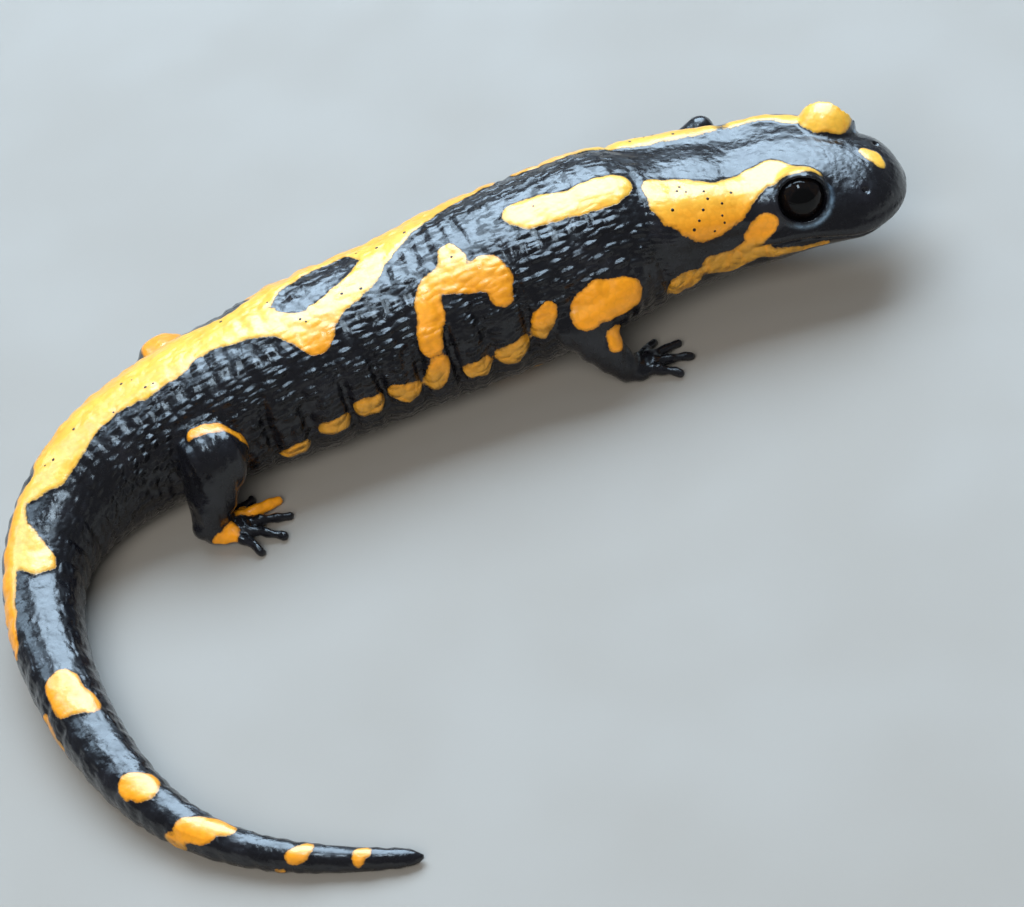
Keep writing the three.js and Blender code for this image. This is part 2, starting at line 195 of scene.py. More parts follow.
LANDMARKS = (
    Landmark(0, 6.1, 2.7, 2.5, 8.5, 155),  # snout
    Landmark(5, 7.4, 3.9, 3.95, 9.15, 157),
    Landmark(9.5, 8.3, 4.7, 5.35, 9.75, 159.5),  # eyes
    Landmark(14, 8.8, 5.3, 6.4, 9.8, 167),
    Landmark(18, 8.5, 5.6, 6.8, 9.4, 175),  # corner of the mouth
    Landmark(22, 8.5, 6.6, 7.2, 9.4, 182),  # parotoid glands
    Landmark(27, 8.9, 7.5, 7.7, 9.6, 186),  # neck
    Landmark(33, 10.1, 9.1, 8.5, 10.0, 187),
    Landmark(39, 10.7, 9.1, 8.9, 9.8, 187),  # shoulders
    Landmark(49, 10.9, 9.3, 8.9, 9.1, 186),
    Landmark(60, 10.3, 8.8, 8.5, 8.35, 189.5),  # belly
    Landmark(70, 9.9, 8.7, 8.5, 8.35, 191.5),
    Landmark(79, 8.8, 8.1, 7.9, 8.0, 190),  # hips
    Landmark(87, 7.8, 7.4, 7.3, 7.5, 195),
    Landmark(95, 6.7, 6.6, 6.6, 6.6, 211),  # vent
    Landmark(103, 5.3, 5.4, 5.3, 5.2, 238),
    Landmark(111, 4.3, 4.3, 4.2, 4.08, 264),
    Landmark(121, 3.75, 3.8, 3.75, 3.6, 279),
    Landmark(131, 3.25, 3.3, 3.25, 3.1, 288),
    Landmark(141, 2.7, 2.7, 2.65, 2.5, 298),
    Landmark(151, 2.0, 2.0, 1.95, 1.83, 316),
    Landmark(161, 1.5, 1.5, 1.45, 1.33, 335),
    Landmark(174, 0.85, 0.85, 0.8, 0.68, 348.5),  # tip of the tail
)


@dataclass
class BodyLine:
    """The middle line from the snout to the tip of the tail, with the body's size along it."""

    landmarks: tuple[Landmark, ...] = LANDMARKS
    snout: tuple[float, float] = (49.3, 19.9)
    step: float = 0.25
    guess_every: int = 4
    locate_passes: int = 4
    stations: Array = field(init=False)
    values: dict[Measure, Array] = field(init=False)
    line_at: Array = field(init=False)
    line: Array = field(init=False)

    def __post_init__(self) -> None:
        """Reads the landmarks into columns and steps the line out on the plan."""
        self.stations = np.array([mark.at for mark in self.landmarks], dtype=float)
        self.values = {
            measure: np.array([getattr(mark, measure.value) for mark in self.landmarks], dtype=float)
            for measure in Measure
        }
        middles = np.arange(0.0, self.long, self.step) + self.step / 2.0
        turn = np.radians(self.along(Measure.TURN, middles))
        steps = self.step * np.stack([np.cos(turn), np.sin(turn)], axis=1)
        self.line = np.vstack([self.snout, self.snout + np.cumsum(steps, axis=0)])
        self.line_at = np.arange(len(self.line)) * self.step

    @property
    def long(self) -> float:
        """Returns the animal's whole length."""
        return self.landmarks[-1].at

    def along(self, measure: Measure, at: Array) -> Array:
        """Reads a measure on a smooth curve through the landmarks.

        Args:
            measure: which one.
            at: distances behind the tip of the snout.

        Returns:
            The measure at each distance.
        """
        at = np.clip(np.asarray(at, dtype=float), 0.0, self.long)
        stations, value = self.stations, self.values[measure]
        last = len(stations) - 1
        i = np.clip(np.searchsorted(stations, at, side="right") - 1, 0, last - 1)
        before = np.maximum(np.arange(last + 1) - 1, 0)
        after = np.minimum(np.arange(last + 1) + 1, last)
        slope = (value[after] - value[before]) / (stations[after] - stations[before])
        span = stations[i + 1] - stations[i]
        t = (at - stations[i]) / span
        return (
            (2 * t**3 - 3 * t**2 + 1) * value[i]
            + (t**3 - 2 * t**2 + t) * span * slope[i]
            + (3 * t**2 - 2 * t**3) * value[i + 1]
            + (t**3 - t**2) * span * slope[i + 1]
        )

    def middle(self, at: Array) -> Array:
        """Returns the plan's point of the middle line at each distance."""
        return np.stack([np.interp(at, self.line_at, self.line[:, k]) for k in (0, 1)], axis=-1)

    def way(self, at: Array) -> tuple[Array, Array]:
        """Finds the level directions at the middle line.

        Args:
            at: distances behind the tip of the snout.

        Returns:
            The directions towards the tail and towards the animal's right, on the plan.
        """
        turn = np.radians(self.along(Measure.TURN, at))
        back = np.stack([np.cos(turn), np.sin(turn)], axis=-1)
        right = np.stack([-back[..., 1], back[..., 0]], axis=-1)
        return back, right

    def place(self, at: Array, forward: Array, right: Array, height: Array) -> Array:
        """Finds points that are given from the body.

        Args:
            at: distances behind the tip of the snout.
            forward: how far towards the snout from there.
            right: how far towards the animal's right.
            height: how far over the floor.

        Returns:
            The points in space.
        """
        at, forward, right, height = np.broadcast_arrays(
            *(np.asarray(value, dtype=float) for value in (at, forward, right, height))
        )
        to_tail, to_right = self.way(at)
        plan = self.middle(at) - forward[..., None] * to_tail + right[..., None] * to_right
        return np.concatenate([plan, height[..., None]], axis=-1)

    def locate(self, plan: Array, near: Array | None = None) -> tuple[Array, Array]:
        """Finds where points of the plan lie along and beside the body.

        Args:
            plan: the points, two columns.
            near: first guesses of the distances, where they are known.

        Returns:
            The distances behind the tip of the snout, below zero before it, and those to the right.
        """
        if near is None:
            coarse = self.line[:: self.guess_every].astype(np.float32)
            gaps = [np.subtract.outer(plan[:, k].astype(np.float32), coarse[:, k]) for k in (0, 1)]
            near = self.line_at[:: self.guess_every][np.argmin(gaps[0] ** 2 + gaps[1] ** 2, axis=1)]
        at = near
        for _ in range(self.locate_passes):
            inside = np.clip(at, 0.0, self.long)
            to_tail, to_right = self.way(inside)
            offset = plan - self.middle(inside)
            at = inside + (offset * to_tail).sum(axis=1)
        return at, (offset * to_right).sum(axis=1)


# ---- the relief of the trunk's skin -------------------------------------------------------------


@dataclass(frozen=True)
class Swelling:
    """A raised form of the skin on both sides, in millimetres along and degrees round the body."""

    at: float
    round: float
    long: float
    broad: float
    rise: float
    edge: float


@dataclass(frozen=True)
class Relief:
    """What stands out from the body's plain sections, and what sinks into them."""

    swellings: tuple[Swelling, ...] = (
        Swelling(22.8, 50, 7.0, 24, 1.1, 4),  # parotoid gland
        Swelling(13.4, 50, 4.2, 20, 0.95, 2),  # behind the lids
        Swelling(15.5, 104, 5.0, 22, 0.5, 2),  # cheek
        Swelling(8, 88, 9, 8, 0.25, 2),  # upper lip
    )
    groove_first: float = 46.2
    groove_step: float = 4.35
    groove_count: int = 8
    groove_depth: float = 1.0
    groove_half: float = 0.85
    groove_round: float = 88.0
    groove_broad: float = 36.0
    mouth_corner: float = 18.4
    mouth_front: float = 1.5
    mouth_back: float = 0.35
    mouth_depth: float = 0.42
    mouth_half: float = 0.2
    mouth_fade: tuple[float, float] = (-1.6, 0.4)  # from the corner
    lip_lift: float = 0.85
    lip_rise: float = 0.2
    lip_half: float = 0.7
    chin_sink: float = 0.12
    chin_edge: tuple[float, float] = (-0.3, 0.3)
    chin_run: tuple[float, float] = (-3.0, -0.5)
    throat_at: float = 29.8
    throat_depth: float = 0.45
    throat_half: float = 0.55
    throat_sway: float = 0.8
    throat_waves: float = 1.5
    throat_round: tuple[float, float] = (12.0, 50.0)
    ring_first: float = 97.0
    ring_step: float = 3.2
    ring_depth: float = 0.045  # of the tail's half width
    ring_sharpness: int = 4
    ring_along: tuple[float, float] = (95.0, 103.0)
    ring_round: tuple[float, float] = (20.0, 60.0)

    def mouth(self, at: Array, lift: Array) -> Array:
        """Shapes lips, slit and chin.

        Args:
            at: distances behind the tip of the snout.
            lift: heights over the middle line.

        Returns:
            How far the skin stands out, below zero in the slit.
        """
        run = np.clip(at / self.mouth_corner, 0.0, 1.0)
        over = lift + self.mouth_front + (self.mouth_back - self.mouth_front) * run
        fade = 1.0 - ease(*(self.mouth_corner + end for end in self.mouth_fade), at)
        slit = -self.mouth_depth * bell(over / self.mouth_half)
        upper = self.lip_rise * bell((over - self.lip_lift) / self.lip_half)
        lower = -self.chin_sink * (1.0 - ease(*self.chin_edge, over)) * ease(*self.chin_run, over)
        return fade * (slit + upper + lower)

    def rise(self, at: Array, turn: Array, lift: Array, wide: Array) -> Array:
        """Adds up the relief.

        Args:
            at: distances behind the tip of the snout.
            turn: degrees round the body from the middle of the back.
            lift: heights over the middle line.
            wide: the body's half width there.

        Returns:
            How far the skin stands out, below zero where it sinks in.
        """
        side = np.abs(turn)
        total = self.mouth(at, lift)
        for form in self.swellings:
            along = bell((at - form.at) / form.long, form.edge)
            total += form.rise * along * bell((side - form.round) / form.broad, form.edge)
        nearest = np.clip(np.round((at - self.groove_first) / self.groove_step), 0, self.groove_count - 1)
        off = at - self.groove_first - nearest * self.groove_step
        flank = bell((side - self.groove_round) / self.groove_broad)
        total -= self.groove_depth * flank * bell(off / self.groove_half)
        fold = self.throat_at + self.throat_sway * np.sin(np.radians(self.throat_waves * side))
        under = ease(*self.throat_round, side)
        total -= self.throat_depth * under * bell((at - fold) / self.throat_half)
        phase = (at - self.ring_first) / self.ring_step
        rings = (0.5 + 0.5 * np.cos(2.0 * np.pi * phase)) ** self.ring_sharpness
        shown = ease(*self.ring_along, at) * ease(*self.ring_round, side)
        return total - self.ring_depth * wide * rings * shown


# ---- lids and legs ------------------------------------------------------------------------------


@dataclass(frozen=True)
class Lids:
    """The lids of one eye: a dome over the ball of the eye with an oval opening.

    fore, out and top are the directions forwards, outwards and upwards from the eye's centre. The
    fields that start with lower give how much fuller the lower lid's roll is, and the last four
    where the painted highlight along its crest runs, in millimetres off the opening and degrees round it.
    """

    centre: Array
    fore: Array
    out: Array
    top: Array
    ball: float = 2.98
    fillet: float = 0.8
    open_long: float = 2.6
    open_tall: float = 2.4
    back: float = 0.9
    margin: float = 0.26
    margin_in: float = 0.12
    margin_fillet: float = 0.5
    edge_fillet: float = 0.3
    lower_from: tuple[float, float] = (0.3, -0.7)
    lower_more: float = 0.3
    lower_apart: float = 0.36
    lower_raise: float = 0.08
    highlight_beside: float = 0.6
    highlight_half: float = 0.24
    highlight_angle: float = -50.0
    highlight_spread: float = 60.0

    def cover(self, flesh: Array, places: Array) -> Array:
        """Returns the field of the flesh with the closed dome added."""
        return blend_min(flesh, length(places - self.centre) - self.ball, self.fillet)

    def around(self, places: Array) -> tuple[Array, Array, Array, Array]:
        """Measures points from the eye.

        Args:
            places: points in space.

        Returns:
            How far forwards, outwards and upwards each is, and how far beside the oval opening.
        """
        x, y, z = ((places - self.centre) @ axis for axis in (self.fore, self.out, self.top))
        oval = np.maximum(np.hypot(x / self.open_long, z / self.open_tall), LEAST_SHARE)
        return x, y, z, np.hypot(x, z) * (1.0 - 1.0 / oval)

    def open(self, flesh: Array, places: Array) -> Array:
        """Rolls the margin of the lids and cuts the opening.

        Args:
            flesh: the field with the closed dome.
            places: the points that it was measured from.

        Returns:
            The field with open lids.
        """
        _, y, z, beside = self.around(places)
        lower = ease(*self.lower_from, z / self.open_tall)
        apart = beside - self.margin_in - self.lower_apart * lower
        raised = length(places - self.centre) - self.ball + self.margin_in - self.lower_raise * lower
        roll = np.hypot(apart, raised) - self.margin - self.lower_more * lower
        roll = np.where(y > 0.0, roll, FAR)
        opening = np.maximum(beside, self.back - y)
        return blend_max(blend_min(flesh, roll, self.margin_fillet), -opening, self.edge_fillet)

    def highlight_share(self, places: Array) -> Array:
        """Finds where the painted highlight runs along the crest of the lower lid.

        Args:
            places: points in space.

        Returns:
            How strongly the painted highlight lies on each, from 0 to 1.
        """
        x, y, z, beside = self.around(places)
        angle = np.degrees(np.arctan2(z, x))
        crest = bell((beside - self.highlight_beside) / self.highlight_half)
        return crest * bell((angle - self.highlight_angle) / self.highlight_spread, 4.0) * (y > 0.0)


@dataclass(frozen=True)
class LimbKind:
    """The build of a front or a hind leg: radii at the joints and the lengths of the toes."""

    upper: tuple[float, float]
    lower: tuple[float, float]
    belly: float
    toes: tuple[float, ...]


FRONT = LimbKind(upper=(3.3, 2.8), lower=(2.5, 1.65), belly=0.3, toes=(2.6, 4.0, 4.3, 2.8))
HIND = LimbKind(upper=(4.0, 3.5), lower=(3.3, 1.9), belly=0.3, toes=(2.8, 4.6, 5.0, 4.6, 3.2))


@dataclass(frozen=True)
class Leg:
    """One leg, given by its joints from the body's middle line.

    root, bend and end are how far forward, how far out and how high each joint is. aim is the way
    the middle toe points, in degrees outwards, and droop how far the foot hangs down in front.
    """

    line: BodyLine
    kind: LimbKind
    at: float
    side: int
    aim: float
    droop: float
    root: tuple[float, float, float]
    bend: tuple[float, float, float]
    end: tuple[float, float, float]
    wrist_height: float = 2.3
    palm_size: tuple[float, float, float] = (2.5, 1.9, 1.2)
    palm_ahead: float = 1.9
    palm_up: float = 1.0
    toe_radii: tuple[float, float] = (0.68, 0.44)
    toe_up: float = 0.36
    toe_arch: float = 0.9
    toe_fan: float = 21.0
    toe_root: float = 0.75  # of the palm's length
    toe_start: tuple[float, float] = (0.45, 0.9)  # of the toe's angle and of the palm's middle
    toe_bend: tuple[float, float] = (0.85, 0.55)  # of the toe's angle and of its length
    toe_pieces: int = 7
    tip_lift: float = 0.06
    knuckle: float = 0.09
    toe_fillet: float = 0.35
    sole_fillet: float = 0.6
    bend_fillet: float = 1.0
    wrist_fillet: float = 0.9
    fillet: float = 2.2
    knee_fillet: float = 0.5
    fillet_run: tuple[float, float] = (0.25, 0.85)

    def spot(self, forward: float, out: float, height: float) -> Array:
        """Returns a point that is given as the joints are."""
        return self.line.place(self.at, forward, self.side * out, height)

    def of_foot(self, angle: float, reach: float, high: float) -> Array:
        """Finds a point of the foot.

        Args:
            angle: its direction from the middle toe's, in radians.
            reach: how far it is from the wrist.
            high: how high it would be on a foot that stands level on the floor.

        Returns:
            The point in space.
        """
        aim, droop = math.radians(self.aim) + angle, math.radians(self.droop)
        up = high - self.wrist_height
        level = reach * math.cos(droop) + up * math.sin(droop)
        height = self.end[2] + up * math.cos(droop) - reach * math.sin(droop)
        return self.spot(self.end[0] + level * math.cos(aim), self.end[1] + level * math.sin(aim), height)

    def palm(self, places: Array) -> Array:
        """Measures from the palm or sole, a flattened ball.

        Args:
            places: the points to measure from.

        Returns:
            Each point's distance to it.
        """
        middle = self.of_foot(0.0, self.palm_ahead, self.palm_up)
        fore = unit(middle - self.of_foot(0.0, 0.0, self.palm_up))
        top = unit(self.of_foot(0.0, self.palm_ahead, self.palm_up + 1.0) - middle)
        offset = places - middle
        axes = (fore, np.cross(top, fore), top)
        scaled = np.stack([offset @ axis / size for axis, size in zip(axes, self.palm_size)], axis=1)
        return length(offset) * (1.0 - 1.0 / np.maximum(length(scaled), LEAST_SHARE))

    def toe_path(self, index: int) -> tuple[Array, Array]:
        """Lays out a toe, bent in the middle and knuckled.

        Args:
            index: which toe, counted from the inner side.

        Returns:
            The points along it, and its radius at each.
        """
        angle = math.radians(self.toe_fan * (index - (len(self.kind.toes) - 1) / 2.0))
        palm, (thick, thin) = self.palm_ahead, self.toe_radii
        reach = palm + self.palm_size[0] * self.toe_root + self.kind.toes[index] - thin
        half_way = palm + (reach - palm) * self.toe_bend[1]
        start = self.of_foot(angle * self.toe_start[0], palm * self.toe_start[1], self.palm_up)
        bent = self.of_foot(angle * self.toe_bend[0], half_way, self.toe_up + self.toe_arch)
        tip = self.of_foot(angle, reach, self.toe_up + self.tip_lift)
        t = np.linspace(0.0, 1.0, self.toe_pieces + 1)[:, None]
        path = (1 - t) ** 2 * start + 2 * t * (1 - t) * bent + t**2 * tip
        knuckles = 1.0 + self.knuckle * np.cos(4.0 * np.pi * t[:, 0] + 0.6)
        return path, (thick + (thin - thick) * t[:, 0]) * knuckles

    def toe(self, places: Array, index: int) -> Array:
        """Returns the distances to a toe."""
        return tapered_path(places, *self.toe_path(index))

    def foot(self, places: Array) -> Array:
        """Measures from the foot.

        Args:
            places: the points to measure from.

        Returns:
            Each point's distance to the palm and its toes.
        """
        toes = self.toe(places, 0)
        for index in range(1, len(self.kind.toes)):
            toes = blend_min(toes, self.toe(places, index), self.toe_fillet)
        return blend_min(self.palm(places), toes, self.sole_fillet)

    def distance(self, places: Array) -> Array:
        """Measures from the whole leg.

        Args:
            places: the points to measure from.

        Returns:
            Each point's distance to the leg, its joints and toes grown together.
        """
        root, bend, end = (self.spot(*joint) for joint in (self.root, self.bend, self.end))
        upper = rod(places, root, bend, self.kind.upper, self.kind.belly)
        lower = rod(places, bend, end, self.kind.lower, self.kind.belly)
        return blend_min(blend_min(upper, lower, self.bend_fillet), self.foot(places), self.wrist_fillet)

    def fillet_at(self, places: Array) -> Array:
        """Finds how widely the leg runs into the body.

        Args:
            places: points in space.

        Returns:
            The width of the fillet at each, most at the leg's root and least at its bend.
        """
        root, bend = self.spot(*self.root), self.spot(*self.bend)
        run = (places - root) @ (bend - root) / float((bend - root) @ (bend - root))
        return self.fillet + (self.knee_fillet - self.fillet) * ease(*self.fillet_run, run)

    def near(self, places: Array, margin: float = 4.0) -> Array:
        """Finds the places that the leg can shape.

        Args:
            places: points in space.
            margin: how far from the leg's skin it still counts.

        Returns:
            Which of the places are so close.
        """
        spots = np.array([self.spot(*joint) for joint in (self.root, self.bend, self.end)])
        reach = self.palm_ahead + self.palm_size[0] + max(self.kind.toes)
        spots = np.vstack([spots, self.of_foot(0.0, reach, self.toe_up)])
        margin += self.kind.upper[0]
        low, high = spots.min(axis=0) - margin, spots.max(axis=0) + margin
        return ((places >= low) & (places <= high)).all(axis=1)


# ---- the whole body as one field ----------------------------------------------------------------


@dataclass
class Flesh:
    """The body as a distance field, in millimetres on the animal's own plan."""

    line: BodyLine = field(default_factory=BodyLine)
    relief: Relief = field(default_factory=Relief)
    squareness: float = 2.25
    snout_plan: float = 5.0
    snout_profile: float = 3.6
    tail_round: float = 3.0
    eye_at: float = 9.6
    eye_right: float = 5.7
    eye_up: float = 3.1
    eye_skew: float = 0.85
    eye_aim: tuple[float, float, float] = (0.25, 1.0, 0.42)
    nostril: tuple[float, float, float] = (3.3, 4.0, 2.95)
    nostril_radius: float = 0.4
    nostril_fillet: float = 0.2
    head_long: float = 20.0
    legs: tuple[Leg, ...] = field(init=False)
    lids: tuple[Lids, ...] = field(init=False)

    def __post_init__(self) -> None:
        """Sets the legs and lids on the body."""
        line = self.line
        self.legs = (
            # kind, at, side, aim and droop, then root, bend and end
            Leg(line, FRONT, 38.5, 1, -6, 0, (2.6, 8.6, 9.8), (-2.6, 9.7, 8.2), (0.8, 12.1, 2.3)),
            Leg(line, FRONT, 36.5, -1, 2, 38, (1.5, 5, 6.4), (10.6, 10.4, 5.4), (18.6, 12.4, 9.9)),
            Leg(line, HIND, 82, 1, 12, 0, (-1.4, 3.5, 7.8), (-1.3, 9.3, 9.0), (-4.4, 11.2, 2.3)),
            Leg(line, HIND, 82, -1, 34, 0, (0, 3.5, 7.8), (-1.2, 9.4, 8.0), (-5.6, 13.0, 2.3)),
        )
        self.lids = tuple(self.lids_of(side) for side in (1, -1))

    def middle_height(self, at: float) -> float:
        """Returns the height of the middle line at a distance."""
        return float(self.line.along(Measure.HEIGHT, at))

    def eye_centre(self, side: int) -> Array:
        """Returns the middle of the right eye, side 1, or of the left one, side -1."""
        height = self.middle_height(self.eye_at) + self.eye_up
        return self.line.place(self.eye_at + side * self.eye_skew, 0.0, side * self.eye_right, height)

    def lids_of(self, side: int) -> Lids:
        """Sets the lids of one eye, turned the way the eye looks.

        Args:
            side: 1 for the right eye, -1 for the left one.

        Returns:
            The lids.
        """
        to_tail, to_right = (np.append(way, 0.0) for way in self.line.way(self.eye_at))
        forward, right, up = self.eye_aim
        out = unit(-forward * to_tail + side * right * to_right + up * np.array([0.0, 0.0, 1.0]))
        fore = unit(-to_tail + out * (to_tail @ out))
        top = np.cross(fore, out)
        return Lids(self.eye_centre(side), fore, out, top if top[2] > 0.0 else -top)

    def turn_of(self, right: Array, lift: Array, wide: Array, tall: Array) -> Array:
        """Finds directions round the body.

        Args:
            right: distances to the right of the middle line.
            lift: heights over it.
            wide: the body's half width there.
            tall: its height there, over or under the middle line.

        Returns:
            The degrees from the middle of the back, above zero on the right side.
        """
        power = self.squareness / 2.0
        across = np.sign(right) * np.abs(right / wide) ** power
        return np.degrees(np.arctan2(across, np.sign(lift) * np.abs(lift / tall) ** power))

    def trunk(self, at: Array, right: Array, height: Array) -> Array:
        """Measures from head, trunk and tail without lids or legs.

        Args:
            at: distances behind the tip of the snout.
            right: distances to the right of the middle line.
            height: heights over the floor.

        Returns:
            About the distance to the skin, below zero inside the body.
        """
        inside = np.clip(at, 0.0, self.line.long)
        lift = height - self.line.along(Measure.HEIGHT, inside)
        wide = self.line.along(Measure.WIDE, inside)
        up, down = (self.line.along(measure, inside) for measure in (Measure.UP, Measure.DOWN))
        tall = np.where(lift > 0.0, up, down)
        rise = self.relief.rise(inside, self.turn_of(right, lift, wide, tall), lift, wide)
        across = np.abs(right / (wide + rise)) ** self.squareness + TINY
        upright = np.abs(lift / (tall + rise)) ** self.squareness
        share = across / (across + upright)
        reach = self.snout_plan * share + self.snout_profile * (1.0 - share)
        front = np.maximum(reach - at, 0.0)
        behind = np.maximum(at - self.line.long + self.tail_round, 0.0)
        cap = front / (reach + rise) + behind / self.tail_round
        size = np.sqrt((across + upright) ** (2.0 / self.squareness) + cap * cap)
        span = np.sqrt(right * right + lift * lift + front * front + behind * behind)
        return span * (1.0 - 1.0 / size)

    def distance(self, places: Array, near: Array | None = None) -> Array:
        """Measures from the whole animal.

        Args:
            places: points in space.
            near: about how far behind the tip of the snout each lies, where that is known.

        Returns:
            About the distance to the skin, below zero inside the body.
        """
        at, right = self.line.locate(places[:, :2], near)
        flesh = self.trunk(at, right, places[:, 2])
        head = at < self.head_long
        if head.any():
            flesh[head] = self.with_face(flesh[head], places[head])
        for leg in self.legs:
            close = leg.near(places)
            if close.any():
                here = places[close]
                flesh[close] = blend_min(flesh[close], leg.distance(here), leg.fillet_at(here))
        return np.maximum(flesh, -places[:, 2])

    def with_face(self, flesh: Array, places: Array) -> Array:
        """Adds lids and nostrils.

        Args:
            flesh: the field of the plain head.
            places: the points that it was measured from.

        Returns:
            The field with both.
        """
        for lids in self.lids:
            flesh = lids.cover(flesh, places)
        for lids in self.lids:
            flesh = lids.open(flesh, places)
        at, right, up = self.nostril
        for side in (1, -1):
            pit = self.line.place(at, 0.0, side * right, self.middle_height(at) + up)
            flesh = blend_max(flesh, self.nostril_radius - length(places - pit), self.nostril_fillet)
        return flesh

    def on_skin(self, at: Array, turn: Array) -> Array:
        """Finds points on the trunk's plain sections.

        Args:
            at: distances behind the tip of the snout.
            turn: degrees round the body from the middle of the back.

        Returns:
            The points in space.
        """
        at, turn = np.asarray(at, dtype=float), np.radians(np.asarray(turn, dtype=float))
        snout = (self.snout_plan, self.snout_profile)
        plan, profile = (np.sqrt(1.0 - np.maximum(1.0 - at / reach, 0.0) ** 2) for reach in snout)
        side, over = np.sin(turn), np.cos(turn)
        upper, lower = (self.line.along(measure, at) for measure in (Measure.UP, Measure.DOWN))
        wide = self.line.along(Measure.WIDE, at) * plan
        tall = np.where(over > 0.0, upper, lower) * profile
        bend = 2.0 / self.squareness
        right = wide * np.sign(side) * np.abs(side) ** bend
        lift = tall * np.sign(over) * np.abs(over) ** bend
        return self.line.place(at, 0.0, right, self.line.along(Measure.HEIGHT, at) + lift)


# ---- the field as a mesh ------------------------------------------------------------------------


@dataclass
class FleshMesher:
    """Turns the field of the flesh into an even mesh, finer on the head and feet."""

    flesh: Flesh
    step: float = 0.42
    low: tuple[float, float, float] = (-58.0, -49.0, -1.0)
    high: tuple[float, float, float] = (53.0, 45.0, 21.0)
    fine_until: float = 22.0
    fine_foot: float = 0.6
    band: float = 3.0  # of the field kept on each side, in steps
    evenness: tuple[float, float] = (0.6, 0.5)
    least_slope: float = 0.2
    settle_passes: int = 4
    nudge: float = 0.01
    longest_move: float = 0.3

    def grid(self) -> tuple[Array, Array]:
        """Measures the flesh on an even grid, slab by slab.

        Returns:
            The grid's values, and its first corner.
        """
        axes = [np.arange(low, high, self.step) for low, high in zip(self.low, self.high)]
        values = np.empty([len(axis) for axis in axes], dtype=np.float32)
        heights = axes[2]
        for i, x in enumerate(axes[0]):
            plan = np.stack([np.full(len(axes[1]), x), axes[1]], axis=1)
            near = np.repeat(self.flesh.line.locate(plan)[0], len(heights))
            places = np.empty((len(near), 3))
            places[:, :2] = np.repeat(plan, len(heights), axis=0)
            places[:, 2] = np.tile(heights, len(plan))
            values[i] = self.flesh.distance(places, near).reshape(len(plan), -1)
        return values, np.array(self.low)

    def polygons(self) -> tuple[Array, Array]:
        """Finds the skin on the grid.

        Returns:
            Its points and its four-sided faces.
        """
        values, corner = self.grid()
        volume = openvdb.FloatGrid(float(self.step * self.band))
        volume.copyFromArray(values)
        points, _, quads = volume.convertToPolygons(isovalue=0.0, adaptivity=0.0)
        return corner + np.asarray(points, dtype=float) * self.step, np.asarray(quads, dtype=int)

    def settle(self, points: Array, edges: Array, even: float) -> Array:
        """Evens the mesh out and moves its points on to the true surface.

        Args:
            points: where the points are.
            edges: the pairs of points that edges join.
            even: how far each moves towards the middle of its neighbours, from 0 to 1.

        Returns:
            Where the points go.
        """
        near = self.flesh.line.locate(points[:, :2])[0]
        ends = np.concatenate([edges, edges[:, ::-1]])
        count = np.bincount(ends[:, 0], minlength=len(points))
        for _ in range(self.settle_passes):
            sums = [np.bincount(ends[:, 0], points[ends[:, 1], k], len(points)) for k in range(3)]
            middle = np.stack([total / count for total in sums], axis=1)
            slope, _ = self.slope(points, near)
            drift = (middle - points) * even
            points = points + drift - slope * (drift * slope).sum(axis=1)[:, None]
            slope, depth = self.slope(points, near)
            points = points - slope * np.clip(depth, -self.longest_move, self.longest_move)[:, None]
        return points

    def slope(self, points: Array, near: Array) -> tuple[Array, Array]:
        """Finds which way is out of the skin.

        Args:
            points: points near the skin.
            near: about how far behind the tip of the snout each lies.

        Returns:
            The way out at each, and how far outside the skin it is.
        """
        here = self.flesh.distance(points, near)
        rows = []
        for axis in np.eye(3):
            rows.append((self.flesh.distance(points + axis * self.nudge, near) - here) / self.nudge)
        slope = np.stack(rows, axis=1)
        steep = np.maximum(length(slope), self.least_slope)
        return slope / steep[:, None], here / steep

    def build(self) -> tuple[bpy.types.Mesh, Array, Array]:
        """Makes the mesh.

        Returns:
            The mesh, still in the field's millimetres, its points, and the way out at each of them.
        """
        points, quads = self.polygons()
        mesh = bpy.data.meshes.new("skin")
        mesh.from_pydata(points.tolist(), [], quads.tolist())
        points = self.settle(points, edges_of(mesh), self.evenness[0])
        mesh.vertices.foreach_set("co", points.ravel())
        self.refine(mesh)
        points = self.settle(points_of(mesh), edges_of(mesh), self.evenness[1])
        mesh.vertices.foreach_set("co", points.ravel())
        near = self.flesh.line.locate(points[:, :2])[0]
        return mesh, points, self.slope(points, near)[0]

    def refine(self, mesh: bpy.types.Mesh) -> None:
        """Splits the faces of head and feet into four.

        Args:
            mesh: the mesh, which is changed in place.
        """
        work = bmesh.new()
        work.from_mesh(mesh)
        points = points_of(mesh)
        fine = self.flesh.line.locate(points[:, :2])[0] < self.fine_until
        for leg in self.flesh.legs:
            fine |= leg.near(points) & (leg.foot(points) < self.fine_foot)
        chosen = [edge for edge in work.edges if all(fine[v.index] for v in edge.verts)]
        bmesh.ops.subdivide_edges(work, edges=chosen, cuts=1, use_grid_fill=True)
        work.to_mesh(mesh)
        work.free()


def rows_of(items: bpy.types.bpy_prop_collection, name: str, width: int, kind: type) -> Array:
    """Reads a property of all points or edges of a mesh.

    Args:
        items: the mesh's points or edges.
        name: the property.
        width: how many numbers it has.
        kind: what numbers they are.

    Returns:
        A row of numbers for each item.
    """
    flat = np.empty(len(items) * width, dtype=kind)
    items.foreach_get(name, flat)
    return flat.reshape(-1, width)


def points_of(mesh: bpy.types.Mesh) -> Array:
    """Returns a mesh's points as rows."""
    return rows_of(mesh.vertices, "co", 3, np.float64)


def edges_of(mesh: bpy.types.Mesh) -> Array:
    """Returns the pairs of points that a mesh's edges join."""
    return rows_of(mesh.edges, "vertices", 2, np.int32)


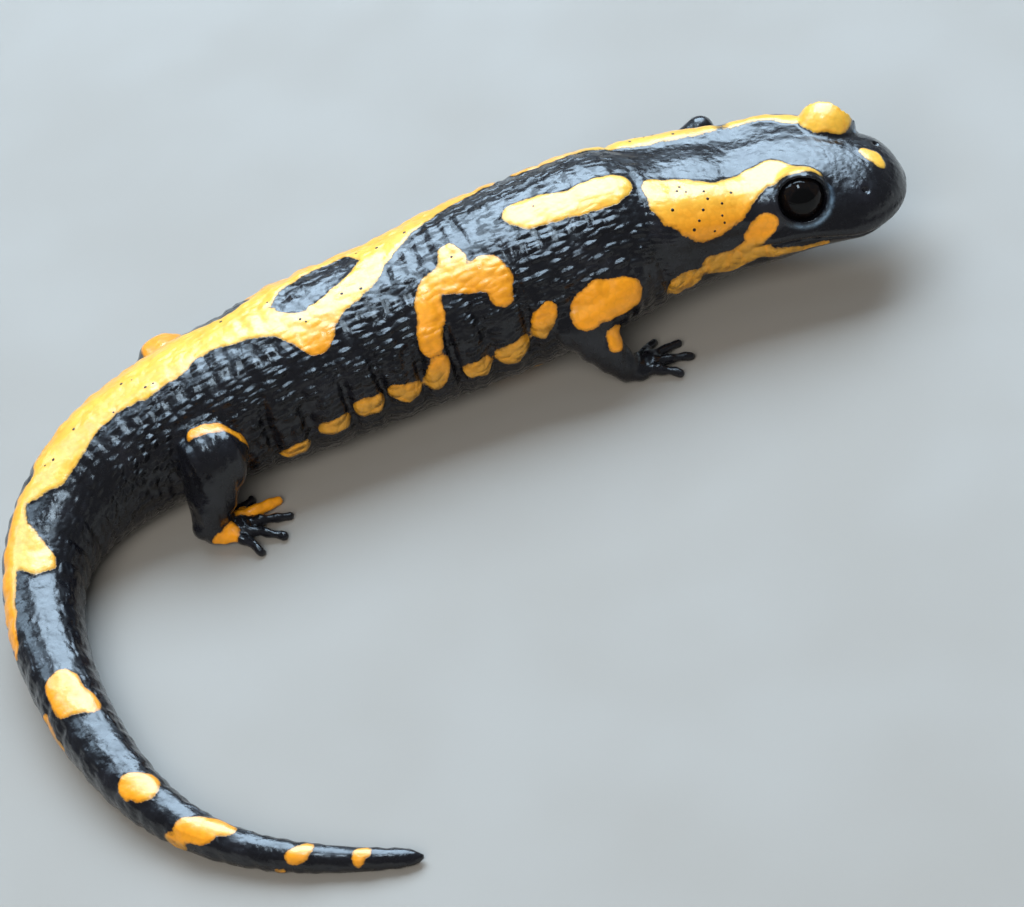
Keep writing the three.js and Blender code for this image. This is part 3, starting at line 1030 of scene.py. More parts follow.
def put_values(mesh: bpy.types.Mesh, name: str, values: Array) -> None:
    """Stores a number, or three, on each point of a mesh under a name."""
    kind, slot = ("FLOAT", "value") if values.ndim == 1 else ("FLOAT_VECTOR", "vector")
    mesh.attributes.new(name, kind, "POINT").data.foreach_set(slot, np.ravel(values).astype(np.float32))


# ---- the markings -------------------------------------------------------------------------------


class Ink(Enum):
    """What a stroke lays on the black skin."""

    YELLOW = "yellow"
    BLACK = "black"  # an island inside the yellow


@dataclass(frozen=True)
class BodyStroke:
    """A stroke on the body. Its stations are distance back, degrees round and half width."""

    stations: tuple[tuple[float, float, float], ...]
    ink: Ink = Ink.YELLOW
    pieces: int = 4  # from one station to the next

    def path(self, flesh: Flesh) -> tuple[Array, Array]:
        """Lays the stroke on the skin.

        Args:
            flesh: the body.

        Returns:
            The stroke's points in space, and its half width at each.
        """
        at, turn, half = np.array(self.stations, dtype=float).T
        steps = np.linspace(0, len(at) - 1, (len(at) - 1) * self.pieces + 1)
        index = np.arange(len(at))
        at, turn, half = (np.interp(steps, index, row) for row in (at, turn, half))
        return flesh.on_skin(at, turn), half


@dataclass(frozen=True)
class FreeStroke:
    """A stroke on lids or legs. Its stations are distance back, right, height and half width."""

    stations: tuple[tuple[float, float, float, float], ...]
    ink: Ink = Ink.YELLOW

    def path(self, flesh: Flesh) -> tuple[Array, Array]:
        """Returns the stroke's points in space and its half width at each."""
        at, right, height, half = np.array(self.stations, dtype=float).T
        return flesh.line.place(at, 0.0, right, height), half


@dataclass(frozen=True)
class ToeStroke:
    """A stroke along one toe of one leg, from the sole to the tip."""

    leg: int
    toe: int
    half: float
    ink: Ink = Ink.YELLOW

    def path(self, flesh: Flesh) -> tuple[Array, Array]:
        """Returns the stroke's points in space and its half width at each."""
        path, _ = flesh.legs[self.leg].toe_path(self.toe)
        return path, np.full(len(path), self.half)


Stroke = BodyStroke | FreeStroke | ToeStroke

MARKINGS: tuple[Stroke, ...] = (
    # right lid and parotoid gland
    FreeStroke(((8.4, 4.0, 15.4, 1.0), (10, 4.3, 16, 1.3), (12, 4, 15.6, 1.4), (14, 3.8, 15, 1.6))),
    BodyStroke(((14, 22, 1.5), (16, 27, 1.7), (18.3, 38, 2.1), (21, 47, 2.4), (23.5, 49, 2.9))),
    BodyStroke(((23.5, 49, 2.9), (25.2, 44, 3.2), (26.6, 36, 2.8), (27.8, 25, 1.6), (28.3, 21, 1.0))),
    # snout
    BodyStroke(((4.1, -10, 0.4), (3.2, -7, 0.65), (2.4, -3, 0.35))),
    # left lid and stripe
    FreeStroke(((7.7, -5.4, 15, 2.1), (9, -5.5, 15.5, 2.4), (10.8, -6, 15.1, 1.0), (12.6, -6, 14.4, 0.7))),
    BodyStroke(((12.4, -44, 0.6), (15, -46, 0.9), (18, -43, 1.1), (21, -41, 1.3), (24, -42, 1.5))),
    BodyStroke(((24, -42, 1.6), (28, -41, 1.9), (32, -41, 1.8), (37, -42, 1.6), (40, -40, 1.2))),
    # right cheek, jaw and throat
    BodyStroke(((15.3, 66, 1.1), (16.3, 73, 1.35), (17.3, 80, 1.1))),
    BodyStroke(((8, 113, 0.15), (10.6, 112, 0.3), (13.4, 104, 0.5), (16.5, 99, 0.7), (19.5, 94, 0.8))),
    BodyStroke(((20.2, 98, 1.0), (22.2, 101, 1.5), (24.2, 98, 1.2))),
    BodyStroke(((27.2, 104, 1.2), (28.4, 103, 1.2), (29.2, 110, 0.8))),
    # right shoulder
    BodyStroke(((43.4, 6, 1.1), (41.8, 10, 2.0), (40, 12, 2.0), (38.4, 14, 1.8), (36.7, 16, 1.7))),
    BodyStroke(((36.7, 16, 1.7), (35, 17, 2.0), (33.4, 17, 2.0), (32, 15, 1.5))),
    # arch on the right flank
    BodyStroke(((51.4, 12, 0.85), (51.5, 22, 1.3), (52.5, 31, 1.5), (50.6, 36, 1.5), (48.5, 37, 1.5))),
    BodyStroke(((48.5, 37, 1.5), (47.6, 46, 1.5), (47.8, 56, 1.0))),
    BodyStroke(
        (
            (52.5, 30, 1.4),
            (54.8, 30, 1.2),
            (55.7, 40, 1.25),
            (56, 50, 1.3),
            (56.8, 60, 1.1),
            (57.1, 68, 1.0),
        )
    ),
    # chain low on the right flank
    BodyStroke(((43.6, 75, 0.7), (44.3, 80, 1.05), (45.2, 89, 0.85))),
    BodyStroke(((47.3, 93, 1.0), (48.6, 95, 1.25), (49.6, 96, 1.1))),
    BodyStroke(((51.9, 96, 1.1), (53.5, 96, 1.0))),
    BodyStroke(((56.8, 84, 1.05), (57.8, 92, 1.1))),
    BodyStroke(((59.6, 93, 0.7), (61.1, 93, 1.1), (62.5, 90, 0.8))),
    BodyStroke(((64.8, 92, 1.0), (66.7, 91, 1.0))),
    BodyStroke(((69, 97, 0.9), (71.3, 98, 0.8))),
    BodyStroke(((73.8, 105, 0.7), (75.1, 109, 0.75), (76.3, 112, 0.4))),
    BodyStroke(((50.5, 86, 0.36), (50.6, 108, 0.36)), Ink.BLACK),
    BodyStroke(((54.9, 84, 0.55), (55, 108, 0.55)), Ink.BLACK),
    BodyStroke(((59.2, 84, 0.38), (59.3, 106, 0.38)), Ink.BLACK),
    BodyStroke(((63.6, 82, 0.42), (63.7, 104, 0.42)), Ink.BLACK),
    BodyStroke(((67.9, 82, 0.42), (68, 104, 0.42)), Ink.BLACK),
    # rear of the back
    BodyStroke(((44, -38, 0.8), (49.6, -32, 1.5), (53.6, -26, 2.0), (58, -20, 2.4))),
    BodyStroke(
        ((56, -14, 1.2), (58, -9, 1.5), (60, -1, 1.5), (62, 6, 1.5), (64.2, 10, 1.5), (66.7, 17, 1.5))
    ),
    BodyStroke(((66.7, 17, 1.5), (68.7, 32, 1.5))),
    BodyStroke(((68.4, 28, 1.6), (69.5, 20, 1.9), (71.2, 11, 1.4), (73, 3, 1.8))),
    BodyStroke(((58, -22, 2.2), (61, -36, 1.9), (66, -40, 2.4), (71, -28, 2.6), (74, -12, 2.8))),
    BodyStroke(((73.8, -1, 2.3), (76.1, -4, 2.4), (78.3, -7, 2.4), (80.7, -9, 2.5), (83.5, -5, 2.6))),
    BodyStroke(((76, -24, 2.0), (82, -30, 2.2), (88, -24, 2.2), (94, -20, 2.2), (99, -16, 2.0))),
    BodyStroke(((83.5, -4, 2.6), (87.1, -2, 2.6), (90.3, -4, 2.2), (93.5, -5, 2.0), (97.6, -1, 2.2))),
    BodyStroke(((97.6, -1, 2.0), (100.2, -2, 2.0), (102, -14, 1.4), (103.4, -32, 0.8), (104.9, -28, 0.8))),
    BodyStroke(
        ((62.6, -12, 0.7), (65.1, -9, 1.2), (67.6, -6, 1.35), (69.8, -5, 0.95), (71.4, -4, 0.3)), Ink.BLACK
    ),
    BodyStroke(((80.4, -38, 1.3), (77.5, -34, 1.8), (75.4, -31, 1.7), (73.4, -30, 0.9)), Ink.BLACK),
    # tail
    BodyStroke(((105.2, -26, 0.8), (106.7, -22, 1.5), (108.8, -9, 1.9), (110.3, 3, 1.7), (111, 20, 0.75))),
    BodyStroke(((109, -32, 1.3), (112.3, -40, 1.1), (114.5, -48, 1.1), (117, -54, 1.0), (119.6, -60, 0.7))),
    BodyStroke(((127.9, -4, 1.6), (129.9, -3, 1.85), (131.6, 16, 0.95))),
    BodyStroke(((128.8, -74, 0.45), (130.9, -88, 0.8), (132.7, -94, 0.4))),
    BodyStroke(((143.1, -12, 1.4), (144.1, -1, 1.4))),
    BodyStroke(((150.5, -38, 0.95), (152.1, -15, 1.2), (153.1, 8, 0.95), (154.7, 14, 0.4))),
    BodyStroke(((149, -84, 0.5), (150, -92, 0.5))),
    BodyStroke(((161.7, -41, 0.6), (162.3, -17, 0.6), (162.9, 7, 0.4))),
    BodyStroke(((160, -99, 0.3), (160.4, -102, 0.3))),
    BodyStroke(((167.8, -48, 0.4), (167.9, -11, 0.5), (168.6, 2, 0.35))),
    # left flank
    BodyStroke(((44.5, -60, 1.0), (47, -66, 1.5), (50, -60, 1.8), (53.5, -64, 1.7), (55, -74, 1.2))),
    BodyStroke(((62, -64, 1.3), (65, -72, 1.7), (68.5, -68, 1.3))),
    BodyStroke(((44, -92, 1.0), (47.5, -95, 1.1), (51, -93, 0.9))),
    BodyStroke(((55, -97, 1.0), (57.5, -95, 1.1))),
    BodyStroke(((61, -95, 0.9), (63.5, -97, 1.0))),
    BodyStroke(((68, -98, 0.9), (70.4, -100, 0.9))),
    BodyStroke(((75, -104, 0.8), (76.4, -106, 0.7))),
    BodyStroke(((17.8, -76, 1.0), (15.8, -70, 1.2), (14.6, -76, 0.8))),
    BodyStroke(((9, -110, 0.2), (13, -102, 0.4), (17, -96, 0.6), (20, -94, 0.8), (23.5, -100, 1.5))),
    BodyStroke(((28, -100, 1.0), (29, -108, 0.8))),
    BodyStroke(((86, -68, 1.2), (89, -62, 1.4), (92, -68, 1.0))),
    # throat and belly
    BodyStroke(((13, 168, 1.3), (17, 174, 1.2))),
    BodyStroke(((24, -150, 1.5), (26.5, -158, 1.2))),
    BodyStroke(((46, 150, 1.2), (50, 156, 1.0))),
    BodyStroke(((64, -148, 1.1), (68, -152, 1.0))),
    # legs
    FreeStroke(((40, 11.9, 10.3, 1.3), (39.9, 11.4, 11, 1.6), (37.9, 11.7, 11.3, 1.9))),
    FreeStroke(((37.9, 11.7, 11.3, 1.9), (35.8, 11.6, 11.2, 1.8), (34.8, 11.6, 10.9, 1.3))),
    FreeStroke(((37.9, 11.9, 6.9, 0.95), (37.9, 12.4, 6.3, 0.95))),
    FreeStroke(((28.6, -10.8, 8.6, 1.4), (31.4, -10.0, 8.8, 1.6))),
    FreeStroke(((84.5, 8.4, 12.1, 0.75), (83.4, 8.5, 12.3, 0.8), (82.2, 8.6, 12.1, 0.7))),
    FreeStroke(
        ((82.2, 8.6, 12.1, 0.7), (81, 9.1, 11.5, 0.55), (80.1, 9.5, 10.4, 0.4), (79.6, 9.4, 8.6, 0.25))
    ),
    FreeStroke(((83.3, -9.8, 11.4, 1.9), (81.9, -10, 11.2, 1.9))),
    FreeStroke(((87.4, 13.1, 1.4, 0.6), (86, 13.4, 1.6, 0.8), (85, 12.8, 2.0, 0.5))),
    ToeStroke(2, 1, 0.85),
    ToeStroke(3, 2, 0.85),
    ToeStroke(1, 1, 0.8),
)


@dataclass(frozen=True)
class Roughening:
    """Noise that makes an edge ragged: how far it moves the edge, its grain and its seed."""

    far: float
    grain: float
    seed: int


@dataclass(frozen=True)
class Markings:
    """The yellow of the skin, as strokes that grow together."""

    flesh: Flesh
    strokes: tuple[Stroke, ...] = MARKINGS
    join: float = 0.8
    spread: float = 0.22
    island_round: float = 0.3
    ragged: tuple[Roughening, ...] = (Roughening(0.27, 1.7, 11), Roughening(0.12, 0.8, 12))

    def reach(self, points: Array, ink: Ink) -> Array:
        """Measures from the strokes of one ink.

        Args:
            points: points of the skin.
            ink: which strokes.

        Returns:
            Each point's distance to the strokes, below zero on them.
        """
        total = np.full(len(points), FAR)
        for stroke in (s for s in self.strokes if s.ink is ink):
            path, half = stroke.path(self.flesh)
            low, high = path.min(axis=0) - FAR, path.max(axis=0) + FAR
            close = ((points > low) & (points < high)).all(axis=1)
            if close.any():
                total[close] = blend_min(total[close], tapered_path(points[close], path, half), self.join)
        return total

    def distance(self, points: Array) -> Array:
        """Measures from the yellow.

        Args:
            points: points of the skin.

        Returns:
            Each point's distance to the yellow's ragged edge, below zero inside it.
        """
        ragged = sum(part.far * LatticeNoise(part.seed).at(points / part.grain) for part in self.ragged)
        yellow, black = (self.reach(points, ink) for ink in (Ink.YELLOW, Ink.BLACK))
        return blend_max(yellow, -black, self.island_round) + ragged - self.spread


# ---- finishes -----------------------------------------------------------------------------------


Colour = tuple[float, float, float]
Value = bpy.types.NodeSocket | bpy.types.ID | float | int | str | Colour
Inputs = dict[str | int, Value]


class Nodes:
    """A tree of nodes, written one node at a time."""

    def __init__(self, tree: bpy.types.NodeTree) -> None:
        """Starts on a tree."""
        self.tree = tree

    def node(self, kind: str, inputs: Inputs | None = None, **settings: object) -> bpy.types.Node:
        """Adds a node.

        Args:
            kind: the node's type.
            inputs: what its sockets get, either a value or another node's socket.
            settings: its other properties.

        Returns:
            The node.
        """
        node = self.tree.nodes.new(kind)
        for name, value in settings.items():
            setattr(node, name, value)
        for name, value in (inputs or {}).items():
            self.give(node.inputs[name], value)
        return node

    def give(self, socket: bpy.types.NodeSocket, value: Value) -> None:
        """Fills a socket.

        Args:
            socket: which one.
            value: a value for it, or another node's socket that is linked to it.
        """
        if isinstance(value, bpy.types.NodeSocket):
            self.tree.links.new(value, socket)
        elif isinstance(value, tuple) and len(value) == 3 and socket.type == "RGBA":
            socket.default_value = (*value, 1.0)
        else:
            socket.default_value = value


class Shader(Nodes):
    """A material's nodes."""

    def __init__(self, name: str) -> None:
        """Starts an empty material.

        Args:
            name: the material's name.
        """
        self.material = bpy.data.materials.new(name)
        self.material.use_nodes = True
        super().__init__(self.material.node_tree)
        self.tree.nodes.clear()

    def place(self) -> Value:
        """Returns the place on the object."""
        return self.node("ShaderNodeTexCoord").outputs["Object"]

    def stored(self, name: str, output: str = "Fac") -> Value:
        """Returns the numbers that are stored on the mesh under a name."""
        return self.node("ShaderNodeAttribute", attribute_name=name).outputs[output]

    def math(self, operation: str, a: Value, b: Value = 0.0) -> Value:
        """Returns the result of a sum on two numbers."""
        return self.node("ShaderNodeMath", {0: a, 1: b}, operation=operation).outputs[0]

    def times(self, a: Value, b: Value) -> Value:
        """Returns the product of two numbers."""
        return self.math("MULTIPLY", a, b)

    def ramp(self, value: Value, low: float, high: float, first: float = 0.0, last: float = 1.0) -> Value:
        """Returns a value eased from first to last as it goes from low to high."""
        inputs = {"Value": value, "From Min": low, "From Max": high, "To Min": first, "To Max": last}
        return self.node("ShaderNodeMapRange", inputs, interpolation_type="SMOOTHSTEP").outputs["Result"]

    def mix(self, factor: Value, a: Value, b: Value) -> Value:
        """Returns a colour between two."""
        inputs = {"Factor": factor, 6: a, 7: b}
        return self.node("ShaderNodeMix", inputs, data_type="RGBA").outputs[2]

    def between(self, factor: Value, a: Value, b: Value) -> Value:
        """Returns a number between two."""
        return self.node("ShaderNodeMix", {"Factor": factor, 2: a, 3: b}).outputs[0]

    def dim(self, colour: Value, share: Value) -> Value:
        """Returns a colour made darker to a share of its brightness."""
        return self.node("ShaderNodeHueSaturation", {"Color": colour, "Value": share}).outputs["Color"]

    def noise(self, vector: Value, scale: float, detail: float = 2.0, roughness: float = 0.5) -> Value:
        """Returns cloudy random values from 0 to 1."""
        inputs = {"Vector": vector, "Scale": scale, "Detail": detail, "Roughness": roughness}
        return self.node("ShaderNodeTexNoise", inputs).outputs["Fac"]

    def beads(self, vector: Value, scale: float, smooth: float) -> Value:
        """Makes close-set round grains.

        Args:
            vector: where on the pattern each point is.
            scale: how many grains there are to a unit.
            smooth: how far they run into one another.

        Returns:
            Their height, from about 0 to 1.
        """
        inputs = {"Vector": vector, "Scale": scale, "Smoothness": smooth}
        cell = self.node("ShaderNodeTexVoronoi", inputs, feature="SMOOTH_F1")
        return self.ramp(cell.outputs["Distance"], 0.0, 0.75, 1.0, 0.0)

    def bump(self, height: Value, distance: float, under: Value | None = None) -> Value:
        """Tilts the normals by a height.

        Args:
            height: the height, from 0 to 1.
            distance: how far 1 stands out, in metres.
            under: the normals of another bump, which this one is laid on.

        Returns:
            The normals.
        """
        inputs = {"Height": height, "Distance": distance, "Strength": 1.0}
        if under is not None:
            inputs["Normal"] = under
        return self.node("ShaderNodeBump", inputs).outputs["Normal"]

    def finish(self, inputs: Inputs) -> bpy.types.Material:
        """Ends the material with a surface.

        Args:
            inputs: what the surface's sockets get.

        Returns:
            The material.
        """
        surface = self.node("ShaderNodeBsdfPrincipled", inputs)
        self.node("ShaderNodeOutputMaterial", {"Surface": surface.outputs[0]})
        return self.material


@dataclass(frozen=True)
class Grain:
    """A fine relief of the finish: how close it is, and how far it stands out in metres."""

    scale: float
    height: float


@dataclass(frozen=True)
class SkinFinish:
    """Moist skin: glossy blue-black, with satin yellow that turns orange down the sides. A pale tint on the
    lower lid's crest is a painted highlight; the darker ochre low on the sides is partly painted shade, and
    the orange in the creases and the dimming between grains are painted shade.
    """

    black: Colour = (0.006, 0.006, 0.008)
    black_worn: Colour = (0.012, 0.012, 0.016)
    yellow: Colour = (0.96, 0.54, 0.060)
    orange: Colour = (0.95, 0.36, 0.012)
    ochre_and_shade: Colour = (0.60, 0.29, 0.030)
    lid_highlight_tint: Colour = (0.21, 0.33, 0.46)
    edge: float = 0.07
    edge_fray: float = 0.35
    edge_dark: float = 0.55
    fray_scale: float = 2600.0
    blotch_scale: float = 260.0
    gloss_scale: float = 700.0
    fold_size: Colour = (0.58, 1.15, 1.0)  # to a millimetre along and round the body
    fold_height: float = 0.00046
    crinkle: Grain = Grain(900.0, 0.00014)
    knob: Grain = Grain(850.0, 0.00022)
    bead: Grain = Grain(1500.0, 0.000025)
    fine: Grain = Grain(5200.0, 0.000012)
    black_rough: tuple[float, float] = (0.20, 0.34)
    yellow_rough: float = 0.36
    yellow_smooth: float = 0.5

    def build(self) -> bpy.types.Material:
        """Writes the material.

        Returns:
            The material, which reads the values that the skin stores on its points.
        """
        s = Shader("salamander_skin")
        place = s.place()
        marking, warmth, ruffle = s.stored("marking"), s.stored("warmth"), s.stored("ruffle")
        crease_shade, lid_highlight = s.stored("crease_shade"), s.stored("lid_highlight")
        unrolled = {"Vector": s.stored("unrolled", "Vector"), "Scale": self.fold_size}
        folds = s.beads(s.node("ShaderNodeMapping", unrolled).outputs["Vector"], 1.0, 0.25)
        beads = s.beads(place, self.bead.scale, 0.2)
        blotch = s.noise(place, self.blotch_scale, 3.0, 0.55)
        fray = s.times(s.math("SUBTRACT", s.noise(place, self.fray_scale), 0.5), self.edge_fray)
        depth = s.math("ADD", marking, fray)
        on_yellow = s.ramp(depth, -self.edge, self.edge, 1.0, 0.0)

        black = s.mix(s.ramp(blotch, 0.45, 0.75), self.black, self.black_worn)
        # painted highlight: a pale blue tint on the lower lid's crest stands in for a wet reflection
        black = s.mix(s.times(lid_highlight, s.ramp(beads, 0.0, 0.4, 0.5, 1.0)), black, self.lid_highlight_tint)
        bright = s.mix(s.ramp(warmth, 0.0, 0.5), self.yellow, self.orange)
        # partly painted shade: low on the sides and under the jaw the yellow darkens to a duller ochre
        bright = s.mix(s.ramp(warmth, 0.5, 1.0), bright, self.ochre_and_shade)
        # painted shade: the yellow turns a darker orange in the creases between the lobes
        bright = s.mix(s.times(crease_shade, 0.45), bright, self.orange)
        # painted shade: the yellow is dimmed a little in the gaps between the grains, and at random in
        # patches
        shade_between_beads, patchy = s.ramp(beads, 0.0, 0.35, 0.92, 1.0), s.ramp(blotch, 0.2, 0.8, 0.9, 1.05)
        bright = s.dim(bright, s.times(shade_between_beads, patchy))
        bright = s.dim(bright, s.ramp(s.math("ABSOLUTE", depth), 0.0, 0.35, self.edge_dark, 1.0))

        black_rough = s.ramp(s.noise(place, self.gloss_scale, 3.0), 0.3, 0.7, *self.black_rough)
        calm = s.ramp(on_yellow, 0.0, 1.0, 1.0, self.yellow_smooth)
        normal = s.bump(s.times(s.times(folds, ruffle), calm), self.fold_height)
        crinkles = s.times(s.noise(place, self.crinkle.scale), s.ramp(ruffle, 0.0, 0.6, 0.8, 1.0))
        normal = s.bump(s.times(crinkles, calm), self.crinkle.height, normal)
        low_down = s.times(on_yellow, s.ramp(warmth, 0.5, 0.8))
        normal = s.bump(s.times(s.beads(place, self.knob.scale, 0.15), low_down), self.knob.height, normal)
        normal = s.bump(beads, self.bead.height, normal)
        normal = s.bump(s.noise(place, self.fine.scale, 3.0, 0.6), self.fine.height, normal)
        return s.finish(
            {
                "Base Color": s.mix(on_yellow, black, bright),
                "Roughness": s.between(on_yellow, black_rough, self.yellow_rough),
                "Normal": normal,
                "IOR": 1.44,
                "Coat Weight": 0.5,
                "Coat Roughness": 0.1,
                "Coat IOR": 1.33,
            }
        )


@dataclass(frozen=True)
class EyeFinish:
    """A wet eye, black, with a trace of dark brown in the iris round its pupil."""

    pupil: Colour = (0.002, 0.002, 0.002)
    iris: Colour = (0.010, 0.006, 0.004)
    surround: Colour = (0.003, 0.003, 0.004)
    pupil_edge: float = 30.0  # degrees off the middle of the pupil
    pupil_soft: float = 1.5
    iris_edge: float = 56.0
    iris_soft: float = 4.0
    fleck_scale: float = 2400.0
    swell: Grain = Grain(900.0, 0.000004)

    def build(self) -> bpy.types.Material:
        """Writes the material.

        Returns:
            The material, which reads the degrees off the pupil that the eye stores on its points.
        """
        s = Shader("salamander_eye")
        place, angle = s.place(), s.stored("from_pupil")
        fleck = s.ramp(s.noise(place, self.fleck_scale, 4.0, 0.65), 0.35, 0.7)
        iris = s.mix(fleck, self.surround, self.iris)
        past_pupil = s.ramp(angle, self.pupil_edge - self.pupil_soft, self.pupil_edge + self.pupil_soft)
        past_iris = s.ramp(angle, self.iris_edge - self.iris_soft, self.iris_edge + self.iris_soft)
        return s.finish(
            {
                "Base Color": s.mix(past_iris, s.mix(past_pupil, self.pupil, iris), self.surround),
                "Roughness": s.ramp(s.noise(place, 500.0), 0.3, 0.7, 0.02, 0.05),
                "Normal": s.bump(s.noise(place, self.swell.scale, 1.0), self.swell.height),
                "IOR": 1.33,
            }
        )


@dataclass(frozen=True)
class PoreFinish:
    """The dark, damp mouths of the poison glands."""

    dark: Colour = (0.012, 0.009, 0.008)
    rust: Colour = (0.060, 0.022, 0.006)
    patch_scale: float = 1300.0
    grit: Grain = Grain(6000.0, 0.00001)

    def build(self) -> bpy.types.Material:
        """Writes the material.

        Returns:
            The material.
        """
        s = Shader("gland_pore")
        place = s.place()
        patch = s.noise(place, self.patch_scale)
        return s.finish(
            {
                "Base Color": s.mix(s.ramp(patch, 0.4, 0.8), self.dark, self.rust),
                "Roughness": s.ramp(patch, 0.3, 0.7, 0.3, 0.5),
                "Normal": s.bump(s.noise(place, self.grit.scale), self.grit.height),
                "IOR": 1.42,
            }
        )


@dataclass(frozen=True)
class FloorFinish:
    """Plain, pale, dull paint."""

    colour: Colour = (0.30, 0.285, 0.26)

    def build(self) -> bpy.types.Material:
        """Writes the material.

        Returns:
            The material.
        """
        s = Shader("pale_floor")
        rough = s.ramp(s.noise(s.place(), 40.0), 0.3, 0.7, 0.75, 0.85)
        return s.finish({"Base Color": self.colour, "Roughness": rough})


# ---- pieces -------------------------------------------------------------------------------------


def add_piece(name: str, mesh: bpy.types.Mesh, material: bpy.types.Material) -> bpy.types.Object:
    """Puts a finished mesh into the scene as a piece that rides with the body.

    Args:
        name: the piece's name.
        mesh: its mesh, in metres in the frame's place.
        material: its finish.

    Returns:
        The new object.
    """
    mesh.name = name
    mesh.materials.clear()
    mesh.materials.append(material)
    mesh.shade_smooth()
    piece = bpy.data.objects.new(name, mesh)
    bpy.context.scene.collection.objects.link(piece)
    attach(piece, "root")
    return piece


@dataclass(frozen=True)
class Zone:
    """A stretch along the body or round it, with soft ends."""

    middle: float
    half: float
    edge: float = 4.0

    def share(self, x: Array) -> Array:
        """Returns how far each x is in the zone, from 0 to 1."""
        return bell((x - self.middle) / self.half, self.edge)


@dataclass(frozen=True)
class Warmth:
    """How the yellow turns towards orange, and low on the sides towards a darker ochre that is partly
    painted shade, by degrees round the body.
    """

    head_from: float = 24.0
    trunk_from: float = 8.0
    trunk_along: tuple[float, float] = (28.0, 42.0)
    orange: float = 0.42
    orange_over: float = 40.0
    ochre_and_shade: float = 0.55
    ochre_and_shade_round: tuple[float, float] = (70.0, 96.0)
    tail: float = 0.25
    tail_along: tuple[float, float] = (114.0, 126.0)
    limb: float = 0.45
    limb_along: tuple[float, float] = (26.0, 30.0)

    def of(self, at: Array, turn: Array, on_trunk: Array) -> Array:
        """Warms the yellow down the sides, on the legs and towards the tip of the tail, and darkens it to
        ochre low on the sides, partly as painted shade.

        Args:
            at: distances behind the tip of the snout.
            turn: degrees round the body from the middle of the back.
            on_trunk: how far each point is on the trunk and not on a leg, from 0 to 1.

        Returns:
            How far the yellow is turned towards orange and ochre, from 0 to 1.
        """
        start = self.head_from + (self.trunk_from - self.head_from) * ease(*self.trunk_along, at)
        down = self.orange * ease(start, start + self.orange_over, turn)
        # the ochre low on the sides is partly the animal's colour and partly painted shade
        down += self.ochre_and_shade * ease(*self.ochre_and_shade_round, turn) + self.tail * ease(*self.tail_along, at)
        limb = (1.0 - on_trunk) * ease(*self.limb_along, at)
        return np.clip(down * (1.0 - limb) + self.limb * limb, 0.0, 1.0)


